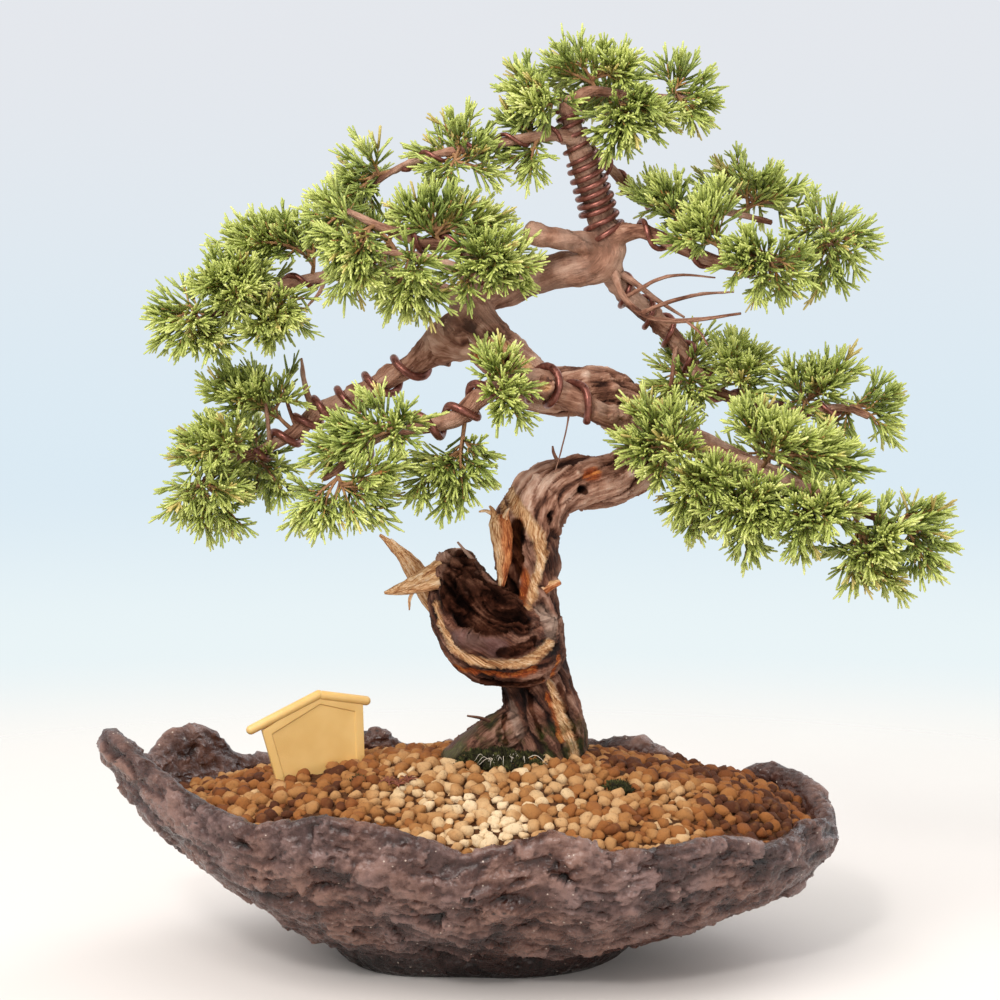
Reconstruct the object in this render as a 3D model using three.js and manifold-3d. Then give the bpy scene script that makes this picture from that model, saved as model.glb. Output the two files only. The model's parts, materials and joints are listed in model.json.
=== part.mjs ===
// A juniper bonsai with a coiled trunk, in a pot shaped like a split boulder.
// Millimetres, +Z up, +X to the right, +Y away from the front. The origin is the
// centre of the pot's foot, on the surface that the pot stands on.
import * as THREE from 'three';
import { mergeVertices } from 'three/addons/utils/BufferGeometryUtils.js';
import Module from 'manifold-3d';

const wasm = await Module();
wasm.setup();

// ---------------------------------------------------------------- driving dimensions
const GAP = 0.3; // air left between two pieces that touch on the real tree
const FLATNESS = 0.15; // what bends less than this is one facet
const SEED = 7; // every random draw of the foliage comes from this one

const POT = {
  columns: 56, // facets round the pot
  footHalfLength: 66,
  footHalfWidth: 47,
  footHeight: 12,
  footSquareness: 2.6, // 2 is an ellipse, more is nearer to an oblong
  footTaper: [0.86, 0.97, 1.05], // on the table, halfway up, where the wall starts
  innerFoot: 0.76, // the inside's floor, as a share of the foot
  wall: 7.5, // clay thickness at the rim
  floor: 13, // clay thickness over the foot
  relief: 2.8, // depth of the rock-like hollows and ridges
  belly: 2.4, // how early the wall swells out: 1 is a straight slope
  bellyLeft: 1.85, // the same under the raised left end, which is leaner
  bellyRight: 2.5, // and under the right end, which is fuller
  hollow: 1.75, // the same for the inside, so the wall is thicker lower down
  roll: 2, // how far it leans out under the rim
};
const DRAIN = { reach: 33, radius: 8, mesh: 24, thickness: 1, bar: 3 };
const SOIL = {
  crown: 87, // height of the mound at its top
  crownX: 12,
  crownY: 2,
  fall: 22, // how much lower it lies at the reach
  reachLeft: 150,
  reachRight: 128,
  reachDeep: 92,
  grain: 0.9, // depth of the lumps that the grains make
};
// How each kind of wood is faceted: sides, distance between rings, depth of its grooves.
const FACETS = {
  trunk: { sides: 10, rings: 12.9, fluted: 0.05, ends: [0.5, 0.5] },
  root: { sides: 7, rings: 12, fluted: 0.04 },
  bough: { sides: 5, rings: 13 },
  stub: { sides: 6, rings: 14, ends: [0.4, 0.1] },
  twig: { sides: 4, rings: 14, ends: [0.4, 0.1] },
};
const WIRE = { thick: 1.7, middle: 1.2, thin: 0.9 };
const LEAFY = {
  stem: 1.15, // radius of a side stem at its root
  fork: 0.98, // radius of a fork at its root
  heel: 0.4, // how narrow a fork's hidden heel is
  tip: 0.65, // radius of both at their tips
  bow: 0.22, // how far they arch, as a share of their length
  step: 20, // length of one straight facet
  shoot: 0.66, // radius of a shoot
  shootLength: 9.5,
  shootPitch: 11, // distance from one shoot to the next
  lean: [0.55, 0.9], // angle of a shoot from its stem, in radians
  tries: 14, // how often a stem that would cross a piece is turned aside
};

// Points of the pot's rim: x, y, z, going round from the left tip along the front.
const RIM = [
  [-162, -8, 99], [-148, -28, 94], [-133, -45, 85], [-117, -62, 78], [-101, -76, 75],
  [-86, -86, 71], [-76, -90, 77], [-64, -93, 80], [-48, -96, 77], [-31, -98, 73],
  [-15, -98, 68], [-4, -98, 63], [7, -98, 68], [31, -98, 74], [56, -96, 64],
  [70, -92, 66], [89, -84, 67], [107, -72, 66], [121, -60, 58], [136, -40, 64],
  [149, -22, 63], [153, -5, 55], [151, 15, 61], [146, 35, 69], [129, 52, 71],
  [113, 68, 60], [93, 82, 63], [87, 86, 68], [73, 88, 76], [49, 92, 72],
  [18, 94, 68], [-24, 90, 71], [-38, 88, 72], [-50, 86, 81], [-69, 82, 74],
  [-98, 72, 70], [-112, 64, 71], [-118, 58, 79], [-130, 50, 90], [-138, 42, 88],
  [-145, 30, 75], [-158, 8, 90],
];

// The tree's own skeleton. Each station is x, y, z, radius.
const TRUNK = {
  column: [[29, 9, 62, 15], [28, 8, 76, 18], [28, 8, 90, 17.5], [26, 8, 104, 16],
    [23, 6, 120, 15], [22, 4, 134, 14]],
  bowl: [[27, 2, 139, 10], [21, -3, 134, 16], [6, -6, 139, 21], [-5, -3, 151, 17.5],
    [-10, 0, 162, 12.5], [-13, 0, 171, 9]],
  neck: [[24, 5, 136, 11], [20, 3, 156, 12], [20, 2, 171, 13.8], [20, 0, 186, 14.5],
    [24, -1, 197, 12.5]],
  shoulder: [[20, 0, 188, 12], [28, 0, 199, 12.5], [41, 2, 204, 11], [58, 8, 205, 10.5],
    [72, 14, 214, 10], [69, 14, 228, 10.5], [56, 6, 239, 11.2], [43, 0, 243, 10.5],
    [26, -4, 244, 10], [10, -4, 257, 10.5], [-5, 0, 267, 10]],
  crown: [[-6, 1, 266, 9.5], [-5, 9, 279, 9], [12, 12, 287, 8.5], [34, 8, 293, 8],
    [49, 4, 295, 7], [55, 4, 303, 6.3], [51, 4, 314, 6], [47, 2, 327, 5.5],
    [42, 0, 342, 5], [38, 0, 355, 4], [36, 0, 365, 3]],
};
const ROOTS = {
  left: [[21, 4, 100, 11], [5, 2, 94, 9], [-8, -2, 87, 6], [-20, -6, 77, 4]],
  back: [[28, 12, 100, 10], [30, 26, 88, 8], [24, 40, 74, 4]],
};
const LIMBS = {
  L1: [[-8, 0, 267, 9], [-17, 2, 262, 8.5], [-28, 6, 254, 4.6], [-43, 12, 245, 4.2],
    [-58, 16, 237, 4.2], [-70, 18, 232, 4], [-79, 18, 224, 3], [-94, 16, 216, 2.2],
    [-107, 12, 211, 1.8], [-118, 10, 204, 1.2]],
  L2: [[62, 0, 229, 5], [49, -10, 235, 4.5], [33, -17, 244, 5], [24, -22, 248, 6],
    [10, -26, 248, 4.5], [-1, -30, 242, 4], [-11, -34, 234, 3.6], [-26, -38, 231, 3.2],
    [-41, -42, 228, 2.6], [-53, -45, 218, 2.2], [-64, -47, 211, 1.4]],
  L3: [[-1, 10, 277, 4], [-21, 18, 287, 2.6], [-41, 20, 293, 2.2], [-62, 18, 291, 2.4],
    [-81, 14, 287, 2.2], [-98, 8, 280, 1.8], [-112, 4, 275, 1.5], [-121, 3, 272, 1.1]],
  L4: [[8, 8, 285, 4], [1, -8, 295, 3], [-10, -20, 303, 2.6], [-26, -28, 307, 2.2],
    [-41, -32, 313, 1.8], [-54, -32, 319, 1.2]],
  L5: [[41, -2, 348, 3], [27, -8, 350, 2.2], [10, -12, 347, 2], [-5, -12, 344, 1.7],
    [-21, -10, 341, 1.5], [-35, -6, 336, 1.3], [-47, -4, 327, 1.1]],
  A: [[36, 0, 362, 3], [46, 2, 368, 2.2], [59, 4, 367, 1.8], [73, 6, 366, 1.4],
    [87, 6, 365, 1.1]],
  R1: [[52, 4, 306, 5], [67, -4, 310, 3], [87, -10, 302, 2.6], [108, -14, 296, 2.4],
    [129, -12, 298, 2.2], [141, -9, 303, 1.7], [149, -7, 306, 1.1]],
  R1b: [[46, 2, 344, 2.6], [56, 10, 335, 2], [66, 18, 324, 1.8], [85, 26, 320, 1.6],
    [107, 30, 317, 1.4], [125, 30, 313, 1.1]],
  R3: [[54, 4, 297, 5], [59, 10, 287, 4.2], [70, 14, 276, 4], [80, 18, 267, 3.8],
    [90, 20, 254, 3.2], [100, 18, 242, 2.6], [119, 12, 235, 2.2], [138, 4, 234, 1.9],
    [153, 0, 236, 1.5], [164, 0, 232, 1.1]],
  R2: [[70, 6, 221, 7], [82, -10, 223, 4.2], [97, -20, 219, 3.4], [116, -26, 212, 3],
    [136, -30, 204, 2.6], [157, -32, 196, 2], [176, -32, 188, 1.2]],
  B1: [[71, 18, 220, 6], [82, 38, 223, 3.6], [99, 55, 217, 2.8], [120, 66, 207, 2],
    [143, 70, 197, 1.2]],
  B2: [[4, 14, 284, 4.5], [-5, 34, 290, 3], [-18, 52, 295, 2.4], [-34, 64, 298, 1.8],
    [-49, 70, 300, 1.1]],
};
// Dead wood: cut stubs, bare snags and dry twigs.
const DEADWOOD = {
  stub: [[53, 4, 303, 5], [40, -2, 306, 4.5], [28, -6, 308, 4.6], [21, -8, 310, 4.6]],
  snagLow: [[-14, 0, 167, 5], [-23, -3, 162, 3.6], [-40, -6, 158, 0.8]],
  snagHigh: [[-17, 4, 153, 4.5], [-29, 6, 166, 3], [-42, 8, 179, 0.8]],
  shard: [[8, -12, 190, 4.7], [9, -13, 183, 4.6], [10, -12, 174, 3.4], [9, -10, 162, 1.2]],
  drySpur: [[55, 2, 297, 1.8], [60, -2, 283, 1.5], [71, -4, 274, 1.2], [88, -6, 273, 1],
    [109, -8, 276, 0.7]],
  dryTwigLow: [[55, 6, 295, 1.8], [67, 2, 287, 1.2], [75, 0, 281, 1], [86, 0, 274, 0.7]],
  dryTwigLeft: [[-72, 17, 234, 1.6], [-75, 12, 246, 1.1], [-76, 10, 256, 0.7]],
};

// Rotted hollows in the trunk: the middle and the half sizes of each.
const HOLLOWS = [
  { place: [3, -22, 153], reach: [15, 8.5, 12] },
  { place: [15, -14, 168], reach: [4.5, 6, 13] },
  { place: [8, -16, 256], reach: [9, 5, 4.5] },
];

// Leafy side stems: limb, place along it (0 at its root, 1 at its tip), then the
// tips that the stem and its forks grow out to.
const LEAFY_STEMS = {
  mid_left_1: ['L3', 0.5, [[-71, 10, 318], [-86, 24, 313], [-107, -8, 308], [-117, 10, 305]]],
  mid_left_2: ['L3', 0.71, [[-117, -18, 290], [-100, -26, 298], [-98, -34, 283]]],
  mid_left_3: ['L3', 0.9, [[-130, 8, 281], [-133, 0, 265], [-120, -14, 271], [-108, -8, 258]]],
  mid_left_4: ['L3', 0.58, [[-90, -14, 261], [-80, -22, 276], [-94, -30, 270]]],
  mid_left_5: ['L3', 0.66, [[-107, 44, 295], [-95, 46, 279], [-116, 40, 276]]],
  upper_left_1: ['L4', 0.95, [[-61, -34, 323], [-58, -22, 313], [-66, -36, 311]]],
  upper_left_2: ['L4', 0.82, [[-60, -44, 307], [-51, -52, 299], [-46, -46, 288], [-58, -30, 284]]],
  upper_left_3: ['L4', 0.6, [[-37, -42, 278], [-22, -36, 277], [-24, -56, 292]]],
  upper_left_4: ['L4', 0.46, [[-31, -34, 321], [-20, -24, 325], [1, -18, 316], [15, -10, 316]]],
  upper_left_5: ['L4', 0.3, [[9, -40, 291], [23, -30, 296], [5, -44, 304], [-9, -42, 285]]],
  far_left_1: ['L5', 0.86, [[-58, -2, 328], [-54, 8, 321], [-44, -8, 339], [-60, -10, 320]]],
  far_left_2: ['L5', 0.52, [[-15, -20, 332], [-22, 0, 343], [-4, -14, 354], [6, -20, 335]]],
  far_left_3: ['L5', 0.18, [[19, -18, 334], [13, -4, 357], [20, 8, 352]]],
  apex_1: ['A', 0.08, [[12, -14, 367], [21, -26, 359], [15, 0, 374]]],
  apex_2: ['A', 0.3, [[43, 14, 380], [29, 0, 380], [53, -6, 380], [63, -14, 375]]],
  apex_3: ['A', 0.9, [[79, 14, 376], [93, 6, 366], [88, -6, 358]]],
  apex_4: ['A', 0.5, [[63, -22, 350], [52, -16, 345], [78, -6, 354], [71, -22, 362]]],
  apex_5: ['A', 0.42, [[47, 40, 363], [64, 38, 365], [32, 34, 361]]],
  upper_right_1: ['R1', 0.32, [[77, -4, 336], [65, 4, 331], [74, 8, 322]]],
  upper_right_2: ['R1', 0.44, [[91, -22, 321], [79, -28, 309], [98, -16, 328]]],
  upper_right_3: ['R1', 0.6, [[111, -38, 307], [99, -36, 298], [121, -18, 286], [131, -30, 295]]],
  upper_right_4: ['R1', 0.9, [[151, 6, 314], [159, -6, 307], [142, -14, 284], [132, -20, 313]]],
  upper_right_5: ['R1b', 0.82, [[135, 22, 329], [113, 20, 331], [94, 30, 329], [140, 36, 316]]],
  low_right_1: ['R3', 0.46, [[74, 28, 244], [81, 8, 238], [98, 36, 262]]],
  low_right_2: ['R3', 0.57, [[121, 32, 257], [114, 40, 248], [106, 10, 258]]],
  low_right_3: ['R3', 0.76, [[145, 14, 245], [131, 0, 253], [157, 0, 254]]],
  low_right_4: ['R3', 0.9, [[173, 6, 240], [174, 0, 226], [146, 10, 225]]],
  cascade_1: ['R2', 0.2, [[70, -34, 210], [58, -22, 223], [65, -26, 241]]],
  cascade_2: ['R2', 0.33, [[89, -20, 179], [79, -14, 193], [86, -44, 206]]],
  cascade_3: ['R2', 0.46, [[111, -30, 168], [116, -50, 190], [97, -46, 194]]],
  cascade_4: ['R2', 0.5, [[126, -46, 230], [107, -38, 239], [148, -40, 224], [165, -40, 214]]],
  cascade_5: ['R2', 0.66, [[132, -42, 176], [125, -58, 195], [143, -60, 196]]],
  cascade_6: ['R2', 0.8, [[176, -34, 155], [153, -38, 165], [162, -50, 177]]],
  cascade_7: ['R2', 0.93, [[185, -24, 195], [191, -32, 181], [186, -42, 170]]],
  back_right_1: ['B1', 0.75, [[146, 80, 211], [159, 72, 188], [107, 66, 180], [104, 84, 208]]],
  back_left_1: ['B2', 0.8, [[-49, 76, 313], [-63, 74, 300], [-45, 70, 282], [-18, 66, 312]]],
  low_left_1: ['L1', 0.67, [[-102, 12, 253], [-120, 4, 247], [-81, 2, 242]]],
  low_left_2: ['L1', 0.82, [[-117, -8, 228], [-131, 6, 211], [-105, -20, 224]]],
  low_left_3: ['L1', 0.95, [[-133, 4, 191], [-118, 12, 182], [-99, -2, 184], [-103, -22, 204]]],
  low_left_4: ['L1', 0.74, [[-112, 46, 205], [-96, 42, 192], [-100, 44, 227], [-80, 0, 196]]],
  front_left_1: ['L2', 0.42, [[11, -52, 245], [15, -46, 236], [4, -40, 258]]],
  front_left_2: ['L2', 0.55, [[-16, -44, 189], [1, -40, 214], [-31, -52, 203]]],
  front_left_3: ['L2', 0.75, [[-35, -66, 232], [-43, -48, 242], [-66, -42, 226], [-73, -46, 216]]],
  front_left_4: ['L2', 0.95, [[-51, -56, 197], [-77, -50, 194], [-39, -50, 194], [-31, -68, 219]]],
};

// Shaping wire: limb, start and end along it, turns, wire radius, start angle.
const WIRES = {
  wire_low_left: ['L1', 0.2, 0.8, 6.5, WIRE.thick, 0.4],
  wire_front_left: ['L2', 0.12, 0.86, 7, WIRE.thick, 2.2],
  wire_mid_left: ['L3', 0.1, 0.62, 4, WIRE.middle, 1.2],
  wire_upper_left: ['L4', 0.1, 0.72, 3, WIRE.middle, 0.6],
  wire_far_left: ['L5', 0.1, 0.8, 4, WIRE.thin, 2.6],
  wire_upper_right: ['R1', 0.14, 0.86, 5, WIRE.middle, 0.2],
  wire_back_right: ['R1b', 0.12, 0.7, 4, WIRE.thin, 1.9],
  wire_low_right: ['R3', 0.1, 0.9, 8, WIRE.middle, 0.9],
};
const COLUMN_WIRE = { from: 0.63, to: 0.78, turns: 6, radius: WIRE.middle, start: 0 };

// The bare plaque, in its own upright plane: across, up. Its foot is in the soil.
const LABEL = {
  outline: [[-17.5, -16], [18.2, -12], [17.2, 29], [-2.6, 35], [-27.7, 20.6]],
  roof: [[-33.4, 23.2], [-2.6, 36], [19.4, 32]],
  thickness: 2.4,
  barDepth: 4.6,
  barHeight: 3.6,
  place: [-67, 3, 78],
  turn: 0.35, // radians about the upright: the right-hand end stands further back
};

// ---------------------------------------------------------------- solids
function toSolid(geometry) {
  const bare = geometry.clone();
  bare.deleteAttribute('normal');
  bare.deleteAttribute('uv');
  const merged = mergeVertices(bare, 1e-4);
  return new wasm.Manifold(new wasm.Mesh({
    numProp: 3,
    vertProperties: new Float32Array(merged.attributes.position.array),
    triVerts: new Uint32Array(merged.index.array),
  }));
}

// Flat stretches are merged first, so that a joint leaves no needless facets.
function toMesh(name, solid, material) {
  const { vertProperties, triVerts } = solid.asOriginal().simplify(FLATNESS).getMesh();
  const geometry = new THREE.BufferGeometry();
  geometry.setAttribute('position', new THREE.BufferAttribute(vertProperties, 3));
  geometry.setIndex(new THREE.BufferAttribute(triVerts, 1));
  geometry.computeVertexNormals();
  const mesh = new THREE.Mesh(geometry, material);
  mesh.name = name;
  return mesh;
}

const join = (solids) => wasm.Manifold.union(solids);

// The biggest connected piece; a scrap that a cut leaves loose is dropped.
function biggest(solid) {
  const pieces = solid.decompose();
  return pieces.reduce((best, piece) => (piece.volume() > best.volume() ? piece : best));
}

function boxesMeet(a, b) {
  const p = a.boundingBox();
  const q = b.boundingBox();
  return [0, 1, 2].every((k) => p.min[k] <= q.max[k] && q.min[k] <= p.max[k]);
}

const meets = (solid, others) =>
  others.some((other) => boxesMeet(solid, other) && solid.intersect(other).volume() > 1e-4);

// ---------------------------------------------------------------- tubes
const vec = ([x, y, z]) => new THREE.Vector3(x, y, z);

// Carries one sideways direction along a line of points without letting it spin.
function carryFrames(points) {
  const last = points.length - 1;
  const tangents = points.map((_, i) => points[Math.min(i + 1, last)].clone()
    .sub(points[Math.max(i - 1, 0)]).normalize());
  const side = new THREE.Vector3(0, 1, 0);
  if (Math.abs(side.dot(tangents[0])) > 0.9) side.set(1, 0, 0);
  return tangents.map((tangent) => {
    side.addScaledVector(tangent, -side.dot(tangent)).normalize();
    return { tangent, side: side.clone(), up: tangent.clone().cross(side) };
  });
}

// A closed tube through the points. shape(i, angle) gives the radius at ring i;
// ends[0] and ends[1] push the middle of each end out, as a share of its radius.
function tube(points, sides, shape, ends = [0.4, 0.4]) {
  const frames = carryFrames(points);
  const positions = [];
  points.forEach((point, i) => {
    const { side, up } = frames[i];
    for (let k = 0; k < sides; k++) {
      const angle = (2 * Math.PI * k) / sides;
      const r = shape(i, angle);
      positions.push(
        point.x + r * (Math.cos(angle) * side.x + Math.sin(angle) * up.x),
        point.y + r * (Math.cos(angle) * side.y + Math.sin(angle) * up.y),
        point.z + r * (Math.cos(angle) * side.z + Math.sin(angle) * up.z),
      );
    }
  });
  const last = points.length - 1;
  const start = points[0].clone().addScaledVector(frames[0].tangent, -ends[0] * shape(0, 0));
  const end = points[last].clone()
    .addScaledVector(frames[last].tangent, ends[1] * shape(last, 0));
  positions.push(start.x, start.y, start.z, end.x, end.y, end.z);
  const startIndex = points.length * sides;
  const index = [];
  for (let k = 0; k < sides; k++) {
    const next = (k + 1) % sides;
    for (let i = 0; i < last; i++) {
      const a = i * sides;
      const b = a + sides;
      index.push(a + k, a + next, b + next, a + k, b + next, b + k);
    }
    index.push(startIndex, next, k);
    index.push(startIndex + 1, last * sides + k, last * sides + next);
  }
  const geometry = new THREE.BufferGeometry();
  geometry.setAttribute('position', new THREE.BufferAttribute(new Float32Array(positions), 3));
  geometry.setIndex(index);
  return toSolid(geometry);
}

// A limb: a smooth curve through its stations, with a radius along it.
class Limb {
  constructor(stations) {
    this.curve = new THREE.CatmullRomCurve3(stations.map(vec), false, 'catmullrom', 0.5);
    this.radii = stations.map((station) => station[3]);
  }

  radius(t) {
    const place = Math.min(Math.max(t, 0), 1) * (this.radii.length - 1);
    const i = Math.min(Math.floor(place), this.radii.length - 2);
    return THREE.MathUtils.lerp(this.radii[i], this.radii[i + 1], place - i);
  }

  // rings: about how far apart the rings are; fluted: depth of its grooves.
  solid({ sides, rings, fluted = 0, grow = 0, ends = [0.4, 0.4] }) {
    const steps = Math.max(2, Math.round(this.curve.getLength() / rings));
    const points = [];
    for (let i = 0; i <= steps; i++) points.push(this.curve.getPoint(i / steps));
    return tube(points, sides, (i, angle) => {
      const t = i / steps;
      const groove = Math.sin(3 * angle + 5 * t) + 0.6 * Math.sin(5 * angle - 9 * t + 1);
      return this.radius(t) * (1 + fluted * groove) + grow;
    }, ends);
  }
}

const limbs = Object.fromEntries(Object.entries(LIMBS).map(([key, s]) => [key, new Limb(s)]));
const crown = new Limb(TRUNK.crown);

// ---------------------------------------------------------------- the wood
// Trunk, limbs, roots and dead snags grew as one piece.
function makeWood(grow = 0) {
  const shaped = (stretches, kind) => Object.values(stretches)
    .map((stations) => new Limb(stations).solid({ ...kind(stations), grow }));
  const trunk = join([...shaped(TRUNK, () => FACETS.trunk), ...shaped(ROOTS, () => FACETS.root)]);
  const hollows = HOLLOWS.map(({ place, reach }) => {
    const scoop = new THREE.IcosahedronGeometry(1, 1).scale(...reach).translate(...place);
    return toSolid(scoop);
  });
  return join([
    trunk.subtract(join(hollows)),
    ...shaped(LIMBS, () => FACETS.bough),
    ...shaped(DEADWOOD, ([root]) => (root[3] > 4 ? FACETS.stub : FACETS.twig)),
  ]);
}

// ---------------------------------------------------------------- the wires
const STEPS_PER_TURN = 7;

function makeCoil(limb, [from, to, turns, radius, start]) {
  const sides = radius < WIRE.thick ? 3 : 4;
  const steps = Math.round(turns * STEPS_PER_TURN);
  const along = [];
  for (let i = 0; i <= steps; i++) along.push(from + ((to - from) * i) / steps);
  const axis = along.map((t) => limb.curve.getPoint(t));
  const frames = carryFrames(axis);
  const stretch = 1 / Math.cos(Math.PI / STEPS_PER_TURN);
  const points = along.map((t, i) => {
    const angle = start + (2 * Math.PI * turns * i) / steps;
    const reach = (limb.radius(t) + GAP + radius) * stretch;
    return axis[i].clone()
      .addScaledVector(frames[i].side, reach * Math.cos(angle))
      .addScaledVector(frames[i].up, reach * Math.sin(angle));
  });
  return tube(points, sides, () => radius, [0, 0]);
}

// ---------------------------------------------------------------- the foliage
// A small seeded generator of numbers from 0 to 1.
function seeded(seed) {
  let state = seed;
  return () => {
    state = (state + 0x6d2b79f5) | 0;
    let t = Math.imul(state ^ (state >>> 15), 1 | state);
    t = (t + Math.imul(t ^ (t >>> 7), 61 | t)) ^ t;
    return ((t ^ (t >>> 14)) >>> 0) / 4294967296;
  };
}

// A slim three-sided leafy stem from a to b, arched by bow across its length.
// A fork's narrow heel hides in its parent.
class Stem {
  constructor(a, b, bow, thick, heel = 1) {
    const curve = new THREE.QuadraticBezierCurve3(a, a.clone().lerp(b, 0.5).add(bow), b);
    this.length = curve.getLength();
    this.steps = Math.max(1, Math.round(this.length / LEAFY.step));
    this.points = curve.getPoints(this.steps);
    this.frames = carryFrames(this.points);
    this.thick = thick;
    this.heel = heel;
  }

  solid(grow = 0) {
    const shape = (i) => (i ? THREE.MathUtils.lerp(this.thick, LEAFY.tip, i / this.steps)
      : this.thick * this.heel) + grow;
    return tube(this.points, 3, shape, [0, 1.6]);
  }

  // The place and the direction at t along the stem.
  at(t) {
    const i = Math.min(Math.floor(t * this.steps), this.steps - 1);
    const [a, b] = [this.points[i], this.points[i + 1]];
    return {
      point: a.clone().lerp(b, t * this.steps - i),
      direction: b.clone().sub(a).normalize(),
    };
  }

  // The outward direction of one of the three faces, at t along the stem.
  faceNormal(t, face) {
    const { side, up } = this.frames[Math.min(Math.round(t * this.steps), this.steps)];
    const angle = Math.PI * (1 / 3 + (2 * face) / 3);
    return side.clone().multiplyScalar(Math.cos(angle)).addScaledVector(up, Math.sin(angle));
  }
}

// One cord-like shoot: a three-sided needle, sunk into its stem at the root.
function shootSolid(root, direction, length, grow = 0) {
  const needle = new THREE.ConeGeometry(LEAFY.shoot + 1.5 * grow, length + 3 * grow, 3);
  needle.translate(0, 0.5 * length, 0);
  const turn = new THREE.Quaternion().setFromUnitVectors(new THREE.Vector3(0, 1, 0), direction);
  needle.applyQuaternion(turn);
  needle.translate(root.x, root.y, root.z);
  return toSolid(needle);
}

function randomBow(random, length) {
  const pick = () => (random() - 0.5) * LEAFY.bow * length;
  return new THREE.Vector3(pick(), pick(), pick() + 0.25 * LEAFY.bow * length);
}

// A leafy side stem with its forks and shoots. wood is cut round with a gap; what
// would cross any other piece is turned aside, or left out after some tries.
function makeSpray([limbName, place, tips], wood, grownWood, others, random) {
  const limb = limbs[limbName];
  let main = null;
  let body = null;
  for (let i = 0; i < LEAFY.tries && !body; i++) {
    const shift = (random() - 0.5) * 0.05 * i;
    const root = limb.curve.getPoint(THREE.MathUtils.clamp(place + shift, 0, 0.99));
    const tip = vec(tips[0]);
    main = new Stem(root, tip, randomBow(random, root.distanceTo(tip)), LEAFY.stem);
    const fat = biggest(main.solid(GAP).subtract(wood));
    if (!meets(fat, others)) body = biggest(main.solid().subtract(grownWood));
  }
  if (!body) return null;

  const pieces = [body];
  const stems = [main];
  tips.slice(1).forEach((point, k) => {
    for (let i = 0; i < LEAFY.tries; i++) {
      const at = 0.3 + 0.16 * k + (random() - 0.5) * 0.02 * i;
      const root = main.at(THREE.MathUtils.clamp(at, 0.2, 0.85)).point;
      const tip = vec(point);
      const bow = randomBow(random, root.distanceTo(tip));
      const fork = new Stem(root, tip, bow, LEAFY.fork, LEAFY.heel);
      if (meets(fork.solid(GAP), [wood, ...others])) continue;
      pieces.push(fork.solid());
      stems.push(fork);
      return;
    }
  });

  let face = Math.floor(3 * random());
  stems.forEach((stem) => {
    const start = stem === main ? 0.22 : 0.16;
    const count = Math.max(2, Math.round(stem.length / LEAFY.shootPitch));
    for (let k = 0; k < count; k++) {
      for (let i = 0; i < 5; i++) {
        face += 1;
        const t = start + ((0.88 - start) * (k + 0.5 + 0.3 * (random() - 0.5))) / count;
        const lean = THREE.MathUtils.lerp(...LEAFY.lean, random());
        const { point: root, direction } = stem.at(t);
        direction.multiplyScalar(Math.cos(lean))
          .addScaledVector(stem.faceNormal(t, face), Math.sin(lean)).normalize();
        const length = LEAFY.shootLength * (0.8 + 0.5 * random());
        if (meets(shootSolid(root, direction, length, GAP), [wood, ...others])) continue;
        pieces.push(shootSolid(root, direction, length));
        break;
      }
    }
  });
  return biggest(join(pieces));
}

// ---------------------------------------------------------------- the pot
// Turns the rim's points into a closed list of azimuth, radius and height.
const rimByAngle = RIM.map(([x, y, z]) => ({ a: Math.atan2(y, x), r: Math.hypot(x, y), z }))
  .sort((p, q) => p.a - q.a);

function rimAt(angle) {
  const n = rimByAngle.length;
  let i = rimByAngle.findIndex((p) => p.a > angle);
  if (i < 0) i = n;
  const before = rimByAngle[(i - 1 + n) % n];
  const after = rimByAngle[i % n];
  const span = (after.a - before.a + 2 * Math.PI) % (2 * Math.PI);
  const share = ((angle - before.a + 2 * Math.PI) % (2 * Math.PI)) / span;
  const ease = share * share * (3 - 2 * share);
  return {
    r: THREE.MathUtils.lerp(before.r, after.r, share),
    z: THREE.MathUtils.lerp(before.z, after.z, ease),
  };
}

// The rounded-oblong foot.
function footRadius(angle) {
  const x = Math.abs(Math.cos(angle)) / POT.footHalfLength;
  const y = Math.abs(Math.sin(angle)) / POT.footHalfWidth;
  const power = POT.footSquareness;
  return (x ** power + y ** power) ** (-1 / power) * (1 + 0.025 * Math.sin(5 * angle + 1));
}

// Hollows and bosses like those of broken rock.
function rockRelief(angle, height) {
  const ridge = 1 - 2 * Math.abs(Math.sin(5.5 * angle + 0.09 * height + 0.7));
  return POT.relief * (0.4 * ridge
    + 0.4 * Math.sin(9 * angle + 0.11 * height)
    + 0.35 * Math.sin(17 * angle - 0.2 * height + 2)
    + 0.4 * Math.sin(4 * angle + 0.26 * height + 1)
    + 0.35 * Math.sin(27 * angle + 0.33 * height));
}

// The wall bellies out low down and stands nearly upright at the rim.
const swell = (s, power) => 1 - (1 - s) ** power;

function outerPoint(angle, s) {
  const rim = rimAt(angle);
  const foot = footRadius(angle) * POT.footTaper[2];
  const z = THREE.MathUtils.lerp(POT.footHeight, rim.z, s);
  const end = Math.cos(angle) < 0 ? POT.bellyLeft : POT.bellyRight;
  const endness = THREE.MathUtils.smoothstep(Math.abs(Math.cos(angle)), 0, 0.8);
  const belly = THREE.MathUtils.lerp(POT.belly, end, endness);
  const r = THREE.MathUtils.lerp(foot, rim.r, swell(s, belly))
    + POT.roll * Math.sin(Math.PI * 0.94 * s);
  return [r + rockRelief(angle, z) * Math.min(1, 4 * (1 - s) + 0.4), z];
}

function innerPoint(angle, s) {
  const rim = rimAt(angle);
  const foot = footRadius(angle) * POT.innerFoot;
  const z = THREE.MathUtils.lerp(POT.floor, rim.z - 2, s);
  const r = THREE.MathUtils.lerp(foot, rim.r - POT.wall, swell(s, POT.hollow));
  return [r, z];
}

const columnAngles = Array.from({ length: POT.columns },
  (_, k) => -Math.PI + ((k + 0.5) * 2 * Math.PI) / POT.columns);
const OUTER_ROWS = [0, 0.12, 0.27, 0.42, 0.57, 0.72, 0.86, 1];
const INNER_ROWS = [0, 0.25, 0.5, 0.75, 1];

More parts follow.
